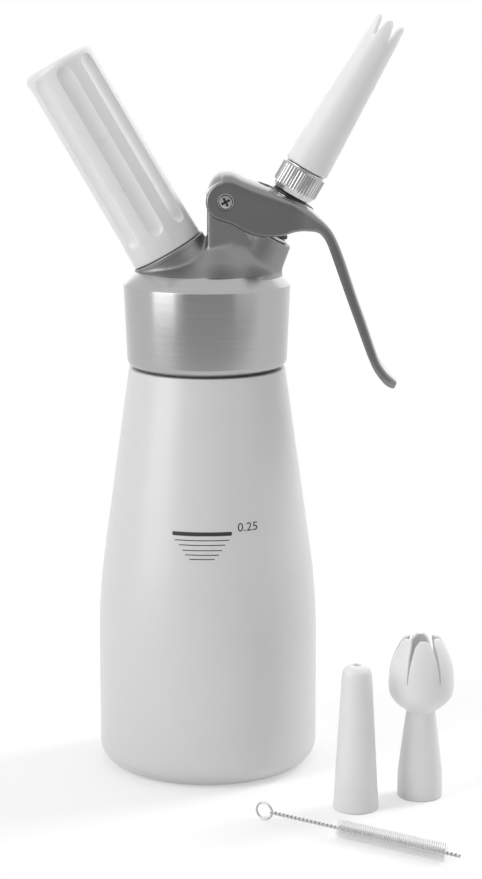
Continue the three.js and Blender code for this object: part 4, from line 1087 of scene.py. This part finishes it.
def makeWorld():
    world = bpy.data.worlds.new("studioAir")
    bpy.context.scene.world = world
    world.use_nodes = True
    tree = world.node_tree
    lit = tree.nodes["Background"]
    setInputs(tree, lit, {"Color": greyColor(studio["around"])})
    white = addNode(tree, "Background", {"Color": greyColor(1)})
    air = mixShaders(tree, lightPathMix(tree), lit.outputs[0], white.outputs[0])
    setInputs(tree, tree.nodes["World Output"], {"Surface": air})


def floorShader(tree):
    # Near the object the floor is lit and takes its shadow, and further off it fades to white.
    coords = addNode(tree, "TexCoord", {}).outputs["Object"]
    distance = addNode(tree, "VectorMath", {0: coords}, operation="LENGTH").outputs["Value"]
    reach = {"From Min": studio["shadowFrom"], "From Max": studio["shadowReach"]}
    fade = addNode(tree, "MapRange", {"Value": distance, **reach}, interpolation_type="SMOOTHSTEP")
    paint, glow = paintShader(tree, studio["floorDiffuse"]), glowShader(tree, studio["floorGlow"])
    lit = addNode(tree, "AddShader", {0: paint, 1: glow}).outputs[0]
    seen = mixShaders(tree, fade.outputs["Result"], lit, glowShader(tree, 1))
    return mixShaders(tree, lightPathMix(tree), paintShader(tree, studio["floorBounce"]), seen)


def makeFloor():
    deselect()
    bpy.ops.mesh.primitive_plane_add(size=studio["floorSize"], location=(0, 0, studio["floorHeight"]))
    floor = bpy.context.active_object
    floor.name = "studioFloor"
    floor.data.materials.append(studioMaterial("studioFloor", floorShader))


# Each lamp: place, the point that it faces, its width and height, and its power in watts
lamps = {
    "leftSoftbox": ((-1.05, -0.72, 0.95), (0, 0, 0.14), 0.5, 1.1, 8.6),
    "topSoftbox": ((0.05, 0.25, 1.15), (0, 0, 0.15), 0.9, 0.7, 3.6),
    "rightFill": ((1.15, 0.66, 1), (0, 0, 0.18), 0.5, 0.8, 10),
}


def addLamps():
    for name, (place, target, width, height, power) in lamps.items():
        bpy.ops.object.light_add(type="AREA", location=place)
        lamp = bpy.context.active_object
        lamp.name = name
        lamp.data.shape = "RECTANGLE"
        lamp.data.size, lamp.data.size_y, lamp.data.energy = width, height, power
        facing = Vector(target) - Vector(place)
        lamp.rotation_euler = facing.to_track_quat("-Z", "Y").to_euler()
        lamp.visible_glossy = False


# Each card: place, width, height, tilt, turn and brightness. Their reflections make the bands on the collar.
cards = {
    "greyCard": ((0.14, -1.7, 0.8), 2.48, 2.2, 90, 0, 0.43),
    "greyMat": ((0.14, -0.98, 0.002), 2.3, 1.4, 0, 0, 0.5),
    "paleCard": ((-1.31, -0.74, 0.8), 0.93, 2.2, 90, -60.5, 3.2),
    "rimCard": ((0.5, 1.7, 0.6), 2.6, 1.6, 90, 0, 1.5),
}


def addCards():
    for name, (place, width, height, tilt, turn, brightness) in cards.items():
        deselect()
        bpy.ops.mesh.primitive_plane_add(size=1, location=place,
                                         rotation=(math.radians(tilt), 0, math.radians(turn)))
        piece = bpy.context.active_object
        piece.name = name
        piece.scale = (width, height, 1)
        piece.data.materials.append(studioMaterial(name, lambda tree: glowShader(tree, brightness)))
        piece.visible_camera = False
        piece.visible_diffuse = False
        piece.visible_shadow = False


def addCamera():
    bpy.ops.object.camera_add(location=studio["camera"], rotation=(math.radians(studio["pitch"]), 0, 0))
    camera = bpy.context.active_object
    camera.data.sensor_fit = "VERTICAL"
    camera.data.sensor_height = studio["sensor"]
    camera.data.lens = studio["lens"]
    camera.data.dof.use_dof = False
    bpy.context.scene.camera = camera


makeWorld()
makeFloor()
addLamps()
addCards()
addCamera()
bpy.context.scene.view_settings.view_transform = "Standard"
print("studio done")
